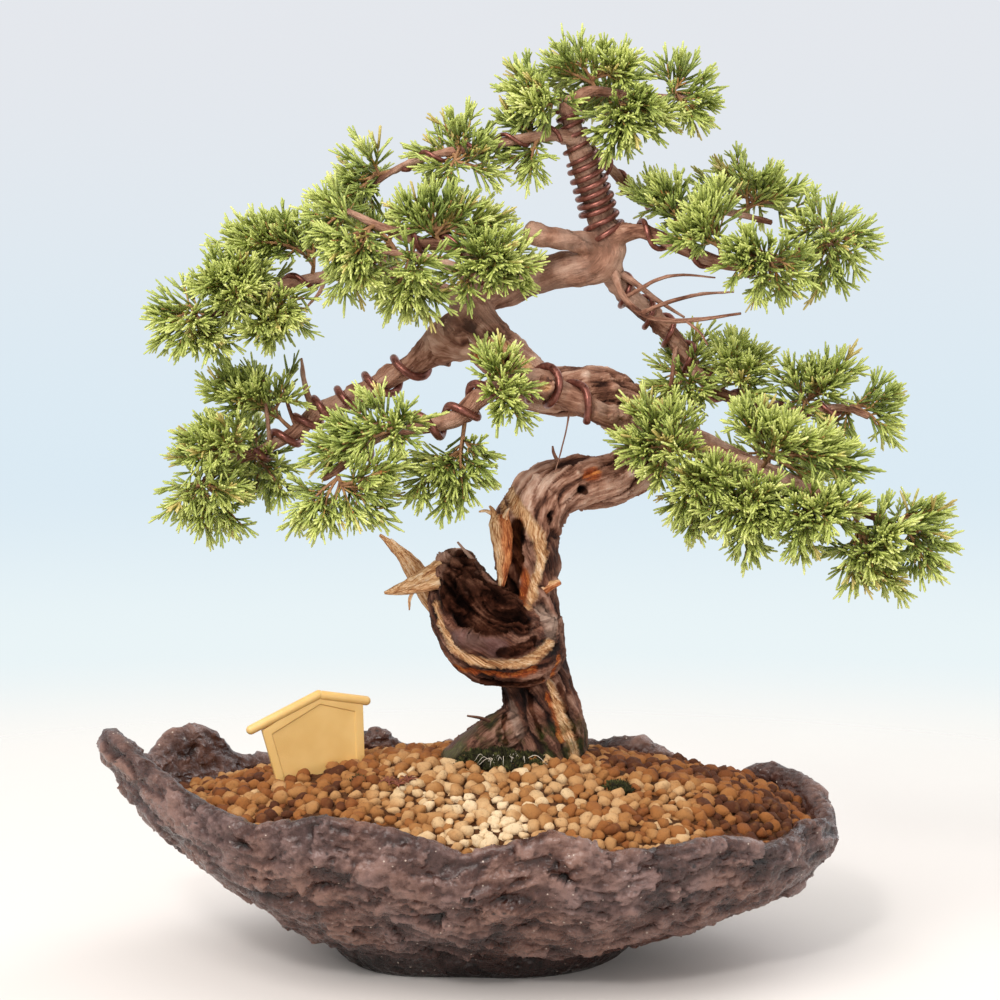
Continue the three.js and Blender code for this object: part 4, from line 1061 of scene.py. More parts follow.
# Marks on the wood, by the side that they are seen from: kind, half width, and the (x, z)
# of points along the mark. Each point is dropped onto the wood from that side.
# The darkest kind of mark paints rotten wood together with shade: in the hollows and under the band of the
# bowl.
MARKS = {
    "front": [
        ("bare", 2.5, [(-19, 153), (-17, 148), (-14.5, 142), (-11, 136.5), (-5, 132.5), (2.5, 130.5),
            (11, 130), (19, 131), (25, 134), (30, 137.5)]),
        ("bare", 1.5, [(28.5, 122), (30.5, 116), (33, 109)]),
        ("bare", 3.1, [(32.5, 110), (35.5, 102), (38.5, 94.5), (41, 86)]),
        ("bare", 3.0, [(11, 205), (12.5, 200.5), (16.5, 194.5), (21.5, 187.5), (25, 181), (26.5, 174.5)]),
        ("bare", 2.2, [(26.5, 174.5), (25.5, 169), (23, 162.5), (21, 156), (19.5, 152)]),
        ("bare", 1.6, [(9, 201), (9.5, 196), (10.5, 191)]),
        ("bare", 2.0, [(26.4, 248), (27.6, 247.4)]),
        ("bare", 2.4, [(-3, 260), (2, 263.5), (8, 264), (14, 260), (19, 254)]),
        ("rust", 2.4, [(16, 188), (14, 184), (15, 178), (17, 170), (19, 163), (18, 155)]),
        ("rust", 1.3, [(33, 131), (30.5, 126), (29, 122)]),
        ("rust", 1.0, [(26, 122), (29, 113), (32, 104), (35, 94)]),
        ("rust", 3.2, [(46.5, 208), (48.5, 208.4)]),
        ("rust", 2.0, [(-1, 258), (5, 260), (10, 258)]),
        ("rust", 1.6, [(-10, 128), (0, 125.5), (12, 125), (22, 127)]),
        ("char", 6.5, [(-6, 171), (-10, 165), (-12, 157), (-5, 152), (6, 150), (14, 150)]),
        ("char", 6.0, [(-3, 163), (3, 158), (10, 158), (17, 147)]),
        ("char", 3.8, [(16, 187), (15, 178), (14, 168), (13, 158)]),
        ("char", 2.4, [(9, 135), (16, 136.5), (22, 139)]),
        ("char", 2.2, [(-16, 134), (-10, 126), (2, 121.5), (14, 120.5), (25, 123)]),
        ("char", 5.0, [(50, 224), (54, 218), (58, 215)]),
        ("char", 2.6, [(4, 255), (9, 254), (15, 249), (19, 247)]),
        ("char", 1.6, [(42, 202), (44, 201.5)]),
        ("char", 1.3, [(29.6, 192), (29.4, 189)]),
        ("char", 1.5, [(33, 118), (36.5, 107), (41, 94)]),
        ("mauve", 4.2, [(-10, 140), (-4, 141), (3, 140), (8, 137)]),
        ("char", 1.3, [(9.5, 113), (10.2, 102), (10.6, 94)]),
        ("char", 1.2, [(20, 118), (22, 108), (26, 96)]),
        ("mauve", 4.0, [(3, 104), (-4, 98), (-13, 89)]),
        ("pale", 3.6, [(25, 149), (29.5, 145.5), (29.5, 141)]),
        ("pale", 2.6, [(-19, 172), (-12, 173)]),
        ("pale", 2.2, [(13, 109), (15, 103), (17, 97)]),
        ("pale", 1.6, [(36, 132), (38, 124), (40, 116)]),
    ],
    "back": [
        ("bare", 3.2, [(36, 186), (30, 178), (22, 170), (14, 160), (8, 150), (4, 140)]),
        ("bare", 2.6, [(60, 214), (50, 209), (38, 206), (28, 198)]),
        ("bare", 2.8, [(30, 122), (24, 110), (20, 98), (18, 86)]),
        ("bare", 2.2, [(-4, 272), (8, 262), (20, 252), (34, 246)]),
        ("rust", 2.4, [(34, 180), (26, 171), (18, 162), (12, 152)]),
        ("char", 4.5, [(-8, 164), (-4, 156), (2, 148)]),
        ("char", 3.5, [(10, 134), (18, 130), (26, 132)]),
        ("mauve", 6.0, [(34, 118), (30, 104)]),
        ("pale", 4.0, [(44, 242), (56, 240)]),
    ],
}
# Dents and bosses, by side: x, z, radius, height (below 0 is a dent).
FORMS = {
    "front": [
        (-5, 141, 8, 2.4), (3, 141, 6, 1.2), (29, 145, 6, 2.2), (36, 172, 4.5, 3.4), (31, 162, 3.5, 2.2),
        (7, 265, 2.6, 1.5), (47.5, 208, 3.6, -1.5), (47.5, 208, 6.5, 1.1), (42.5, 202.5, 2.4, -2.2),
        (31, 202, 2.2, -1.3), (30, 192, 2.4, -1.5), (29.5, 188.5, 1.8, -1.0), (41, 209, 1.8, 1.3),
        (-6, 260, 3, 2.2), (0, 270, 2.6, 1.4), (24, 207, 2.2, 1.4), (18, 208, 2.0, 1.2), (56, 246, 4, 1.8),
        (44, 250, 3, 1.6), (64, 208, 3, 1.5), (12, 100, 4.5, 1.6), (30, 252, 3, 1.2), (23, 108, 6, 1.4),
        (-16, 172, 4, 1.6), (-4, 170, 3, 2.2), (1, 174, 2.4, 1.8),
    ],
    "back": [
        (20, 176, 7, -3.0), (2, 156, 8, -3.5), (34, 200, 4, 2.4), (60, 224, 4, 2.2), (16, 256, 4, 2.0),
        (30, 108, 5, 1.8), (-8, 150, 5, 2.2), (26, 142, 5, 2.0),
    ],
}


def collar(limb):
    """The swollen start of a bough, which narrows until the bough comes out of it."""
    points, radii = limb.every(1.5)
    count = min(len(points), COLLAR_RINGS)
    share = np.linspace(0, 1, count)
    return points[:count], radii[:count] * (1.22 - 0.34 * share)


def wood_skin():
    """All thick wood, melted into one closed skin."""
    runs = [curve.every(2.0) for curve in (stem, bowl, Curve(STUB), *roots)]
    runs += [collar(limbs[name]) for name in COLLARS]
    runs.append(Curve(KNOB).every(1.0))
    parts = [sweep(points, radii, SKIN_SIDES, (0.5, 0.5))[:2] for points, radii in runs]
    raw = in_scene("raw wood", new_mesh("raw wood", *merge(parts)))
    melt = raw.modifiers.new("melt", "REMESH")
    melt.mode = "VOXEL"
    melt.voxel_size = VOXEL * MM
    relax = raw.modifiers.new("relax", "SMOOTH")
    relax.factor = 0.5
    relax.iterations = RELAX_ROUNDS
    return bake(raw)


def scoop(points):
    """Presses the rotted hollows in from the front."""
    depth = np.zeros(len(points))
    for middle, reach in HOLLOWS:
        share = (((points - middle) / reach) ** 2)[:, [0, 2]].sum(axis=1)
        floor = middle[1] + reach[1] * np.sqrt(np.clip(1 - share, 0, 1))
        inside = (share < 1) & (points[:, 1] < floor) & (points[:, 1] > middle[1] - 2 * reach[1])
        depth[inside] = np.maximum(depth[inside], (floor - points[:, 1])[inside])
    points[:, 1] += depth
    return depth


def nearest_run(points):
    """For each point: its place along and around the run of wood that it lies on, and its radius."""
    found = [(curve.every(1.0), RUNS_APART * number)
             for number, curve in enumerate((stem, bowl, *roots))]
    along, around, radius = (np.zeros(len(points)) for _ in range(3))
    best = np.full(len(points), np.inf)
    for (line, radii), start in found:
        _, side, up = carry_frames(line)
        for begin in range(0, len(points), ROWS_AT_ONCE):
            part = slice(begin, begin + ROWS_AT_ONCE)
            offset = points[part, None, :] - line[None, :, :]
            share = np.linalg.norm(offset, axis=2) / radii[None, :]
            k = share.argmin(axis=1)
            rows = np.arange(len(k))
            closer = share[rows, k] < best[part]
            away = offset[rows, k]
            turn = np.arctan2((away * up[k]).sum(1), (away * side[k]).sum(1))
            for target, value in ((along, start + k), (around, turn), (radius, radii[k])):
                target[part][closer] = value[closer]
            best[part] = np.minimum(best[part], share[rows, k])
    return along, around, radius


def drop(tree, side, x, z):
    """The place on the wood that a straight look from the front or the back meets."""
    start, way = (Vector((x, -200, z)), Vector((0, 1, 0)))
    if side == "back":
        start, way = Vector((x, 200, z)), Vector((0, -1, 0))
    return tree.ray_cast(start, way)[0]


def line_distance(points, line):
    """How far each point lies from a broken line."""
    best = np.full(len(points), np.inf)
    for a, b in zip(line[:-1], line[1:]):
        ab = b - a
        share = np.clip(((points - a) @ ab) / max(ab @ ab, 1e-9), 0, 1)
        best = np.minimum(best, np.linalg.norm(points - (a + share[:, None] * ab), axis=1))
    return best


def mark_masks(points, tree):
    """How strongly each kind of mark covers each point, from 0 to 1."""
    ragged = 0.9 * bumps(points, 5, 3)
    masks = {kind: np.zeros(len(points)) for kind in MARK_KINDS}
    for side, kind, half, places in ((side, *mark) for side in MARKS for mark in MARKS[side]):
        line = np.array([hit for hit in (drop(tree, side, x, z) for x, z in places) if hit])
        if len(line) > 1:
            distance = line_distance(points, line) + ragged
            cover = 1 - smoothstep(half * 0.62, half * 1.25, distance)
            masks[kind] = np.maximum(masks[kind], cover)
    masks["char"] *= 1 - masks["bare"] * 0.8
    return masks


def grain_vector(along, around, radius, twist=GRAIN_TWIST):
    """Coordinates that run with the grain: across, across and along the wood."""
    turn = around + twist * along
    return np.stack([radius * np.cos(turn), radius * np.sin(turn), along * GRAIN_PACE], axis=-1)


def bark_relief(points, normals, grain, sound):
    """Fibres, cracks and flakes where the bark is sound, and a slow swelling everywhere."""
    fibres = ridges(grain, 2.6) * 0.4 + ridges(grain + 40, 1.3) * 0.3
    plates = ridges(grain * [1, 1, 1.6], 6.5)
    cracks = -1.5 * smoothstep(0.74, 0.97, plates)
    swelling = 1.3 * bumps(points, 17, 2) + 0.6 * bumps(points, 6, 2)
    torn_grain = grain * [1, 1, 1.3] + 0.9 * sway(points, 5, 2, (0, 30, 60))
    askew = [Vector(normal) for normal in normals.tolist()]
    flakes = 0.8 * chips(torn_grain, askew, BARK_CHIPS, 9)
    return (fibres + cracks + flakes) * sound + swelling


def work_wood(mesh):
    """Scoops the hollows, marks the wood and pushes its bark, bare strips and bosses out."""
    points = read_points(mesh)
    rot = scoop(points)
    write_points(mesh, points)
    normals = read_points(mesh, "normal")
    tree = BVHTree.FromPolygons(points.tolist(), [face.vertices[:] for face in mesh.polygons])
    along, around, radius = nearest_run(points)
    grain = grain_vector(along, around, radius)
    masks = mark_masks(points, tree)
    # Deeper in the scooped hollows the darkest mark grows: rotted wood with painted shade in the hollow.
    masks["char"] = np.maximum(masks["char"], smoothstep(0.5, 2.5, rot))
    young = smoothstep(*YOUNG_HEIGHTS, points[:, 2]) * 0.75
    relief = bark_relief(points, normals, grain, (1 - young) * (1 - 0.7 * masks["mauve"]))
    bare = masks["bare"]
    relief = relief * (1 - 0.75 * bare) - 0.9 * bare + 0.25 * ridges(grain, 0.9) * bare
    relief += 0.9 * np.exp(-((bare - 0.35) / 0.2) ** 2)
    rotten = 1.5 * ridges(grain * [1, 1, 0.7], 3.2) + 0.9 * bumps(points, 2.6, 2)
    relief += masks["char"] * (rotten - 0.8) - 0.6 * masks["rust"]
    for side, x, z, reach, height in ((side, *form) for side in FORMS for form in FORMS[side]):
        hit = drop(tree, side, x, z)
        if hit:
            distance = np.linalg.norm(points - np.array(hit), axis=1)
            relief += height * (1 - smoothstep(0.15 * reach, reach, distance))
    write_points(mesh, points + normals * relief[:, None])
    store(mesh, "grain", grain)
    store(mesh, "relief", np.clip(0.5 + relief / WOOD_RELIEF, 0, 1))
    store(mesh, "smooth", young)
    damp = 1 - smoothstep(*DAMP_HEIGHTS, points[:, 2] + 6 * bumps(points, 9, 2))
    store(mesh, "moss", damp)
    for kind, values in masks.items():
        store(mesh, kind, values)


def coat(tree, colour, mark, strength, over):
    """Lays another colour over the first where the mark is."""
    return mix(tree, calc(tree, "MULTIPLY", attribute(tree, mark), strength), colour, over)


def sound_bark(tree, place, tone, patches):
    """Brown bark, darker on the column by its old bark and painted shade under the crown, younger above,
    with peeled and weathered places.
    """
    bark = ramp(tree, tone, [
        (0.36, (0.035, 0.011, 0.006)), (0.45, (0.17, 0.068, 0.04)), (0.53, (0.37, 0.185, 0.12)),
        (0.62, (0.56, 0.34, 0.245)), (0.72, (0.74, 0.54, 0.43))])
    dark = ramp(tree, tone, [
        (0.37, (0.006, 0.0018, 0.0012)), (0.47, (0.028, 0.008, 0.0045)), (0.57, (0.1, 0.032, 0.017)),
        (0.7, (0.3, 0.135, 0.085))])
    drift = stretch(tree, patches, 0.42, 0.62, -0.35, 0.3)
    # Darker below 205 mm: the column's old bark, with painted shade under the crown.
    low = stretch(tree, part_of(tree, place, "Z"), 0.205, 0.15)
    colour = mix(tree, calc(tree, "ADD", low, drift, True), bark, dark)
    young = mix(tree, stretch(tree, patches, 0.4, 0.6), (0.34, 0.175, 0.115), (0.58, 0.37, 0.275))
    colour = coat(tree, colour, "smooth", 0.6, young)
    peeled = ramp(tree, patches, [
        (0.38, (0.04, 0.012, 0.01)), (0.52, (0.115, 0.05, 0.043)), (0.66, (0.23, 0.13, 0.112))])
    colour = coat(tree, colour, "mauve", 0.8, peeled)
    weathered = ramp(tree, tone, [
        (0.3, (0.07, 0.036, 0.025)), (0.55, (0.3, 0.19, 0.14)), (0.8, (0.56, 0.42, 0.34))])
    return coat(tree, colour, "pale", 0.75, weathered)


def stripped_wood(tree, colour, grain):
    """Bare and rusty strips, with their fibres."""
    streaks = weigh(tree, (grain_noise(tree, grain, 0.5, 3, 0.62), 0.55),
                    (grain_noise(tree, grain, 1.6, 2, 0.5), 0.45))
    wood = ramp(tree, streaks, [
        (0.36, (0.14, 0.042, 0.013)), (0.44, (0.42, 0.19, 0.075)), (0.52, (0.67, 0.39, 0.19)),
        (0.64, (0.88, 0.66, 0.45))])
    rust = ramp(tree, streaks, [
        (0.36, (0.09, 0.013, 0.004)), (0.5, (0.36, 0.07, 0.012)), (0.62, (0.68, 0.24, 0.055))])
    return coat(tree, coat(tree, colour, "bare", 1.0, wood), "rust", 0.85, rust)


def bark_finish():
    """Bark with all its marks: bare, rusty, peeled, weathered, rotten and mossy, with painted shade in
    cracks and hollows and painted light on ridges.
    """
    material, tree, shader, place = new_finish("juniper bark", 0.74, 0.38)
    grain = attribute(tree, "grain", "Vector")
    relief = attribute(tree, "relief")
    char = attribute(tree, "char")
    long_streaks = grain_noise(tree, grain, 3.4, 4, 0.6)
    fine_streaks = grain_noise(tree, grain, 0.7, 3, 0.6)
    patches = grain_noise(tree, place, 11 * MM, 4, 0.6)
    tone = weigh(tree, (long_streaks, 0.45), (fine_streaks, 0.25), (patches, 0.3))
    # Cracks darker and ridges lighter by the stored relief: painted shade and light.
    tone = calc(tree, "ADD", tone, stretch(tree, relief, 0.25, 0.75, -0.16, 0.14))
    colour = stripped_wood(tree, sound_bark(tree, place, tone, patches), grain)
    # The darkest mark goes nearly black, by relief too: rotten wood with painted shade in hollows and
    # under the bowl's band.
    rot_tone = weigh(tree, (long_streaks, 0.5), (relief, 0.5))
    rotten = ramp(tree, rot_tone, [
        (0.38, (0.003, 0.0009, 0.0005)), (0.5, (0.011, 0.003, 0.0015)), (0.6, (0.042, 0.012, 0.006)),
        (0.76, (0.17, 0.07, 0.04))])
    colour = mix(tree, stretch(tree, char, 0.15, 0.75, 0.0, 0.95), colour, rotten)
    green = ramp(tree, fine_streaks, [(0.3, (0.012, 0.016, 0.004)), (0.7, (0.07, 0.08, 0.018))])
    mossy = calc(tree, "MULTIPLY", attribute(tree, "moss"), stretch(tree, patches, 0.4, 0.56), True)
    paint(tree, shader, mix(tree, calc(tree, "MULTIPLY", mossy, 0.8), colour, green))
    wet = calc(tree, "MULTIPLY", attribute(tree, "mauve"), 0.3)
    tree.links.new(calc(tree, "SUBTRACT", 0.78, wet), shader.inputs["Roughness"])
    dull = stretch(tree, char, 0.1, 0.8, 0.22, 0.03)
    tree.links.new(dull, shader.inputs["Specular IOR Level"])
    fine = weigh(tree, (fine_streaks, 1.0), (grain_noise(tree, place, 1.3 * MM, 3), 0.5))
    bump(tree, shader, fine, 1.1, 0.85)
    return material


bark = bark_finish()
trunk = wood_skin()
work_wood(trunk)
trunk.materials.clear()
trunk.materials.append(bark)
trunk.shade_smooth()
show("trunk", trunk, "bark", "tree_wood")
print("trunk:", triangles(trunk), "triangles")

# %% [markdown]
# ## Boughs and dead wood
# Boughs are thinner than the voxels could hold, so they stay swept tubes. Their radius
# wavers with the grain, and small bosses stand where side stems once grew. The dead
# wood is old heartwood: two pointed snags, a broken shard and a few dry twigs. Their
# cross-section is flattened and their tips are split, as torn wood is.

# %% Boughs and dead wood
DEAD_WOOD = {  # stations, flatness, how rust-coloured on its right-hand side
    "snag_low": ([(-11, -3, 167.5, 6.2), (-17, -5, 165.5, 5.6), (-23, -6, 163, 4.3),
        (-30, -7, 160.5, 2.9), (-36, -7, 158.8, 1.7), (-40.5, -7, 157.8, 0.5)], 0.5, 0.0),
    "snag_low_edge": ([(-17, -8, 162, 2.4), (-24, -9, 160.5, 1.8), (-29, -9, 159, 1.1),
        (-33, -8, 158.4, 0.4)], 0.7, 0.15),
    "snag_high": ([(-15, 2, 148, 5.4), (-20, 2, 155, 5.2), (-25, 3, 162, 4.2), (-29, 4, 167.5, 3.6),
        (-33, 4, 172.5, 2.4), (-38.5, 5, 179, 0.7)], 0.5, 0.1),
    "snag_fork": ([(-27, 5, 164, 2.6), (-32, 6, 170, 2.3), (-37.5, 7, 176, 1.6),
        (-43, 8, 180.5, 0.6)], 0.6, 0.0),
    "shard": ([(8, -11.5, 191.5, 3.4), (8.5, -12, 188, 4.6), (9.2, -12.5, 182, 4.3), (9.8, -12, 175, 3.2),
        (9.6, -11, 168, 2.2), (9, -9, 161, 1.0)], 0.5, 1.0),
    "shard_tip": ([(6, -12, 189, 1.4), (5.6, -12.4, 193, 1.1), (4, -12.6, 195.6, 0.35)], 0.7, 0.0),
    "shard_tip_right": ([(10, -12.6, 189, 1.6), (11, -13, 192.5, 1.0),
        (12.4, -13, 194.6, 0.3)], 0.7, 0.6),
    "shard_curl": ([(5.4, -12, 192, 0.9), (2.4, -12.4, 193.4, 0.6), (-0.5, -12.4, 193, 0.25)], 0.8, 0.2),
    "chip": ([(24, -6, 157.5, 2.2), (29, -7, 160.5, 1.9), (34, -7, 162.5, 0.9)], 0.6, 0.9),
    "sliver": ([(-27, -7, 161, 1.0), (-29.5, -8, 156, 0.7), (-30, -8, 150.5, 0.25)], 0.8, 0.0),
}
DRY_TWIGS = {
    "spur": [(55, 2, 297, 1.8), (60, -2, 283, 1.5), (71, -4, 274, 1.2), (88, -6, 273, 1),
        (109, -8, 276, 0.5)],
    "low": [(55, 6, 295, 1.8), (67, 2, 287, 1.2), (75, 0, 281, 1), (86, 0, 274, 0.5)],
    "left": [(-72, 17, 234, 1.6), (-75, 12, 246, 1.1), (-76, 10, 256, 0.5)],
    "spur_side": [(68, -4, 276, 1), (80, -6, 281, 0.9), (92, -7, 284, 0.7), (106, -8, 285, 0.35)],
    "spur_side_2": [(62, -2, 283, 0.9), (74, -6, 290, 0.8), (84, -8, 292, 0.6), (98, -10, 291, 0.35)],
    "twig_fork": [(86, -6, 273, 0.7), (92, -10, 268, 0.5), (95, -12, 263, 0.3)],
    "L1_side": [(-79, 18, 226, 1), (-82, 12, 236, 0.8), (-84, 10, 244, 0.4)],
    "L1_side_2": [(-90, 16, 219, 1), (-91, 10, 234, 0.8), (-92, 8, 247, 0.4)],
    "R3_hang": [(84, 18, 262, 1), (82, 8, 252, 0.9), (80, 4, 240, 0.8), (78, 2, 231, 0.4)],
    "R3_hang_2": [(92, 20, 252, 1), (90, 10, 243, 0.9), (91, 5, 233, 0.5)],
    "mid_left_dry": [(-66, 16, 291, 1), (-68, 10, 284, 0.8), (-74, 8, 277, 0.4)],
    "bowl_top": [(0, -4, 168, 1.1), (-4, -6, 173, 0.9), (-9.5, -7, 179.5, 0.4)],
    "hair": [(38, -8, 241, 0.5), (36.5, -11, 229, 0.35), (34, -12, 219, 0.3), (31.5, -12, 210, 0.2)],
    "neck_twig": [(33, -2, 213, 0.9), (31, -4, 217, 0.7), (30.5, -5, 220, 0.4)],
    "root_twig": [(4, -8, 103, 0.8), (0, -10, 104.6, 0.7), (-5.5, -12, 106, 0.4)],
}
BOUGH_STEP, BOUGH_SIDES = 1.15, 14
TWIG_STEP, TWIG_SIDES = 1.3, 7
SPLINTER_STEP, SPLINTER_SIDES = 0.7, 24


def bough_mesh(curve, step, sides, seed):
    """A bough's skin, and coordinates along its grain."""
    points, radii = curve.every(step)
    wander = sway(points + seed * 13, 16, 2, (0, 50, 100))
    leave = smoothstep(0, 0.15, np.linspace(0, 1, len(points)))
    points = points + wander * (0.25 * np.minimum(radii, 2) * leave)[:, None]

    def shape(ring, turn):
        along = ring * step * GRAIN_PACE + seed * 7
        grain = np.stack([3 * np.cos(turn), 3 * np.sin(turn), along], axis=-1)
        knots = smoothstep(0.25, 0.6, bumps(grain * [0.4, 0.4, 1.6], 1.6, 2))
        return 1 + 0.07 * ridges(grain, 1.5) + 0.05 * bumps(grain, 3.0) + 0.3 * knots

    skin, faces, ring, turn = sweep(points, radii, sides, shape=shape)
    along = np.append(ring * step, [0, len(points) * step])
    around = np.append(turn, [0, 0])
    thick = np.append(radii[ring], radii[[0, -1]])
    return skin, faces, grain_vector(along + 300 * seed, around, thick)


def make_boughs():
    parts = [bough_mesh(curve, BOUGH_STEP, BOUGH_SIDES, seed)
             for seed, curve in enumerate(limbs.values())]
    parts += [bough_mesh(Curve(stations), TWIG_STEP, TWIG_SIDES, 20 + seed)
              for seed, stations in enumerate(DRY_TWIGS.values())]
    points, faces = merge([part[:2] for part in parts])
    mesh = new_mesh("boughs", points, faces, bark)
    store(mesh, "grain", np.vstack([part[2] for part in parts]))
    store(mesh, "relief", np.full(len(points), 0.52))
    store(mesh, "smooth", smoothstep(0.35, 0.7, 0.5 + bumps(points, 22, 2)))
    return mesh


def splinter(stations, flat, seed):
    """A flattened, split piece of dead wood, and coordinates along its grain."""
    points, radii = Curve(stations).every(SPLINTER_STEP)

    def shape(ring, turn):
        along = ring / len(points)
        fibre = np.stack([2 * np.cos(turn), 2 * np.sin(turn), 1.5 * along + seed * 5], axis=-1)
        return 1 + ridges(fibre, 0.8) * (0.1 + 0.22 * along)

    skin, faces, ring, turn = sweep(points, radii, SPLINTER_SIDES, (0.2, 0.2), shape, flat)
    skin = skin + 0.25 * sway(skin, 3, 2, (0, 40, 80))
    thick = np.append(radii[ring], radii[[0, -1]])
    along = np.append(ring * SPLINTER_STEP, [0, 0]) + 60 * seed
    rightness = np.append(skin[: len(ring), 0] - points[ring][:, 0], [0, 0])
    grain = grain_vector(along, np.append(turn, [0, 0]), thick, 0)
    return skin, faces, grain, rightness / np.maximum(thick, 0.5)


def make_dead_wood():
    parts, grains, rust = [], [], []
    for seed, (stations, flat, rusty) in enumerate(DEAD_WOOD.values()):
        skin, faces, grain, rightness = splinter(stations, flat, seed)
        parts.append((skin, faces))
        grains.append(grain)
        rust.append(rusty * smoothstep(-0.35, 0.25, rightness + 0.3 * bumps(skin, 6, 2)))
    points, faces = merge(parts)
    mesh = new_mesh("dead wood", points, faces, bark)
    store(mesh, "grain", np.vstack(grains))
    store(mesh, "relief", np.full(len(points), 0.5))
    store(mesh, "bare", np.ones(len(points)))
    store(mesh, "rust", np.concatenate(rust))
    return mesh


boughs = make_boughs()
dead_wood = make_dead_wood()
show("boughs", boughs, "bark", "tree_wood")
show("dead_wood", dead_wood, "bark", "tree_wood")
print("boughs:", triangles(boughs), "dead wood:", triangles(dead_wood), "triangles")

# %% [markdown]
# ## Shaping wire
# Soft copper-coloured wire holds the boughs in their bends: 3.4 mm on the two heaviest
# and thinner on the rest. A wire is a helix that hugs its bough, so its middle line is
# worked out from the bough's own curve, and a Geometry Nodes tree draws a round wire
# along it. The wire's thickness is an input of the tree, so all eleven share one tree.

# %% Wind the wires
GAP = 0.3  # between the wire and its bough, in millimetres
STEPS_PER_TURN = 22
WIRE_SIDES = 12
WIRES = {  # bough, start and end along it, turns, radius, start angle
    "wire_low_left": ("L1", 0.2, 0.8, 6.5, 1.7, 0.4),
    "wire_front_left": ("L2", 0.12, 0.86, 7, 1.7, 2.2),
    "wire_mid_left": ("L3", 0.1, 0.62, 4, 1.2, 1.2),
    "wire_upper_left": ("L4", 0.1, 0.72, 3, 1.2, 0.6),
    "wire_far_left": ("L5", 0.1, 0.8, 4, 0.9, 2.6),
    "wire_upper_right": ("R1", 0.14, 0.86, 5, 1.2, 0.2),
    "wire_back_right": ("R1b", 0.12, 0.7, 4, 0.9, 1.9),
    "wire_low_right": ("R3", 0.1, 0.9, 8, 1.2, 0.9),
    "wire_column": ("crown", 0.63, 0.78, 6, 1.2, 0),
}
LOOSE_WIRES = {  # the same, for strands that the solids leave out
    "wire_leader": ("crown", 0.78, 0.95, 5, 0.9, 1.4),
    "wire_leader_low": ("crown", 0.55, 0.64, 2, 1.2, 2.0),
}


def coil_line(curve, begin, end, turns, radius, start):
    """The middle line of a wire wound round a bough."""
    steps = round(turns * STEPS_PER_TURN)
    line, radii = curve.at(np.linspace(begin, end, steps + 1))
    _, side, up = carry_frames(line)
    angle = start + 2 * math.pi * turns * np.arange(steps + 1) / steps
    course = np.stack([angle * 0.9, np.full_like(angle, begin * 50), angle * 0], axis=-1)
    wobble = 0.35 * bumps(course, 1.0, 2)
    reach = (radii + GAP + radius + wobble)[:, None]
    return line + reach * (np.cos(angle)[:, None] * side + np.sin(angle)[:, None] * up)


def draw_tubes(tree, lines, sides, radius, scale=1.0):
    """Closed round tubes along the edges of a mesh."""
    curve = add(tree, "GeometryNodeMeshToCurve", {"Mesh": lines})
    ring = add(tree, "GeometryNodeCurvePrimitiveCircle", {"Resolution": sides, "Radius": radius})
    drawn = add(tree, "GeometryNodeCurveToMesh", {"Curve": curve.outputs[0], "Scale": scale,
                "Profile Curve": ring.outputs[0], "Fill Caps": True})
    return drawn.outputs[0]


def wire_tree(material):
    tree, inputs = new_tree("draw wire", {"Thickness": "Float", "Sides": "Int"})
    radius = calc(tree, "MULTIPLY", inputs["Thickness"], 0.5)
    drawn = draw_tubes(tree, inputs["Geometry"], inputs["Sides"], radius)
    close_tree(tree, drawn, (material, True))
    return tree


def wire_finish():
    material, tree, shader, place = new_finish("copper-brown wire", 0.34)
    scuffs = grain_noise(tree, place, 2.4 * MM, 4, 0.65)
    paint(tree, shader, ramp(tree, scuffs, [
        (0.3, (0.1, 0.03, 0.022)), (0.55, (0.23, 0.078, 0.056)), (0.78, (0.42, 0.175, 0.135))]))
    shader.inputs["Metallic"].default_value = 0.6
    tree.links.new(stretch(tree, scuffs, 0.3, 0.7, 0.26, 0.44), shader.inputs["Roughness"])
    bump(tree, shader, grain_noise(tree, place, 1.2 * MM, 2), 0.12, 0.6)
    return material


def line_mesh(name, points):
    mesh = bpy.data.meshes.new(name)
    mesh.from_pydata((points * MM).tolist(), [(i, i + 1) for i in range(len(points) - 1)], [])
    return mesh


draw_wire = wire_tree(wire_finish())
for name, (limb, begin, end, turns, radius, start) in {**WIRES, **LOOSE_WIRES}.items():
    curve = crown if limb == "crown" else limbs[limb]
    line = line_mesh(name, coil_line(curve, begin, end, turns, radius, start))
    wire = grow(line, draw_wire, Thickness=2 * radius * MM, Sides=WIRE_SIDES)
    show(name + "_round", wire, "wire_metal", *([name] if name in WIRES else []))
    print(name, triangles(wire), "triangles")

# %% [markdown]
# ## Moss and root hairs
# The last trimmings are what makes a potted tree look alive: a cushion of dark moss in
# the fork of the roots, a few tufts on the grit, pale root hairs and a fallen dry sprig.
# Particles would do for moss, but the tree that scattered the grit can scatter tufts as
# well; it only gets another set of shapes and a small cushion to put them on.

# %% Trim with moss
TUFTS = 3
TUFT_BLADES = 7
TUFT_PITCH = 0.75
TUFT_DENSITY = 3e6  # on a square metre, before the pitch thins them out
TUFT_HEIGHT = (1.6, 3.0)
CUSHION_RINGS, CUSHION_SPOKES = 5, 14
CUSHIONS = [  # middle, radius, how high it swells
    ((9, -14), 11, 4.0), ((-2, -11), 8, 2.5), ((20, -13), 7, 2.0), ((14, -21), 5, 1.5),
    ((58, -34), 5, 1.6), ((38, 20), 5, 1.2), ((-52, -24), 3, 1.0),
]
HAIRS = 26
SPRIG = [(-38, -33), (-34, -36), (-30, -33)]  # where its forks lie
SPRIG_TIPS = 7
soil_tree = solid_tree("soil")


def ground(x, y):
    """The height of the grit at one place."""
    hit = soil_tree.ray_cast(Vector((x, y, 300)), Vector((0, 0, -1)))[0]
    return hit.z if hit else 80.0


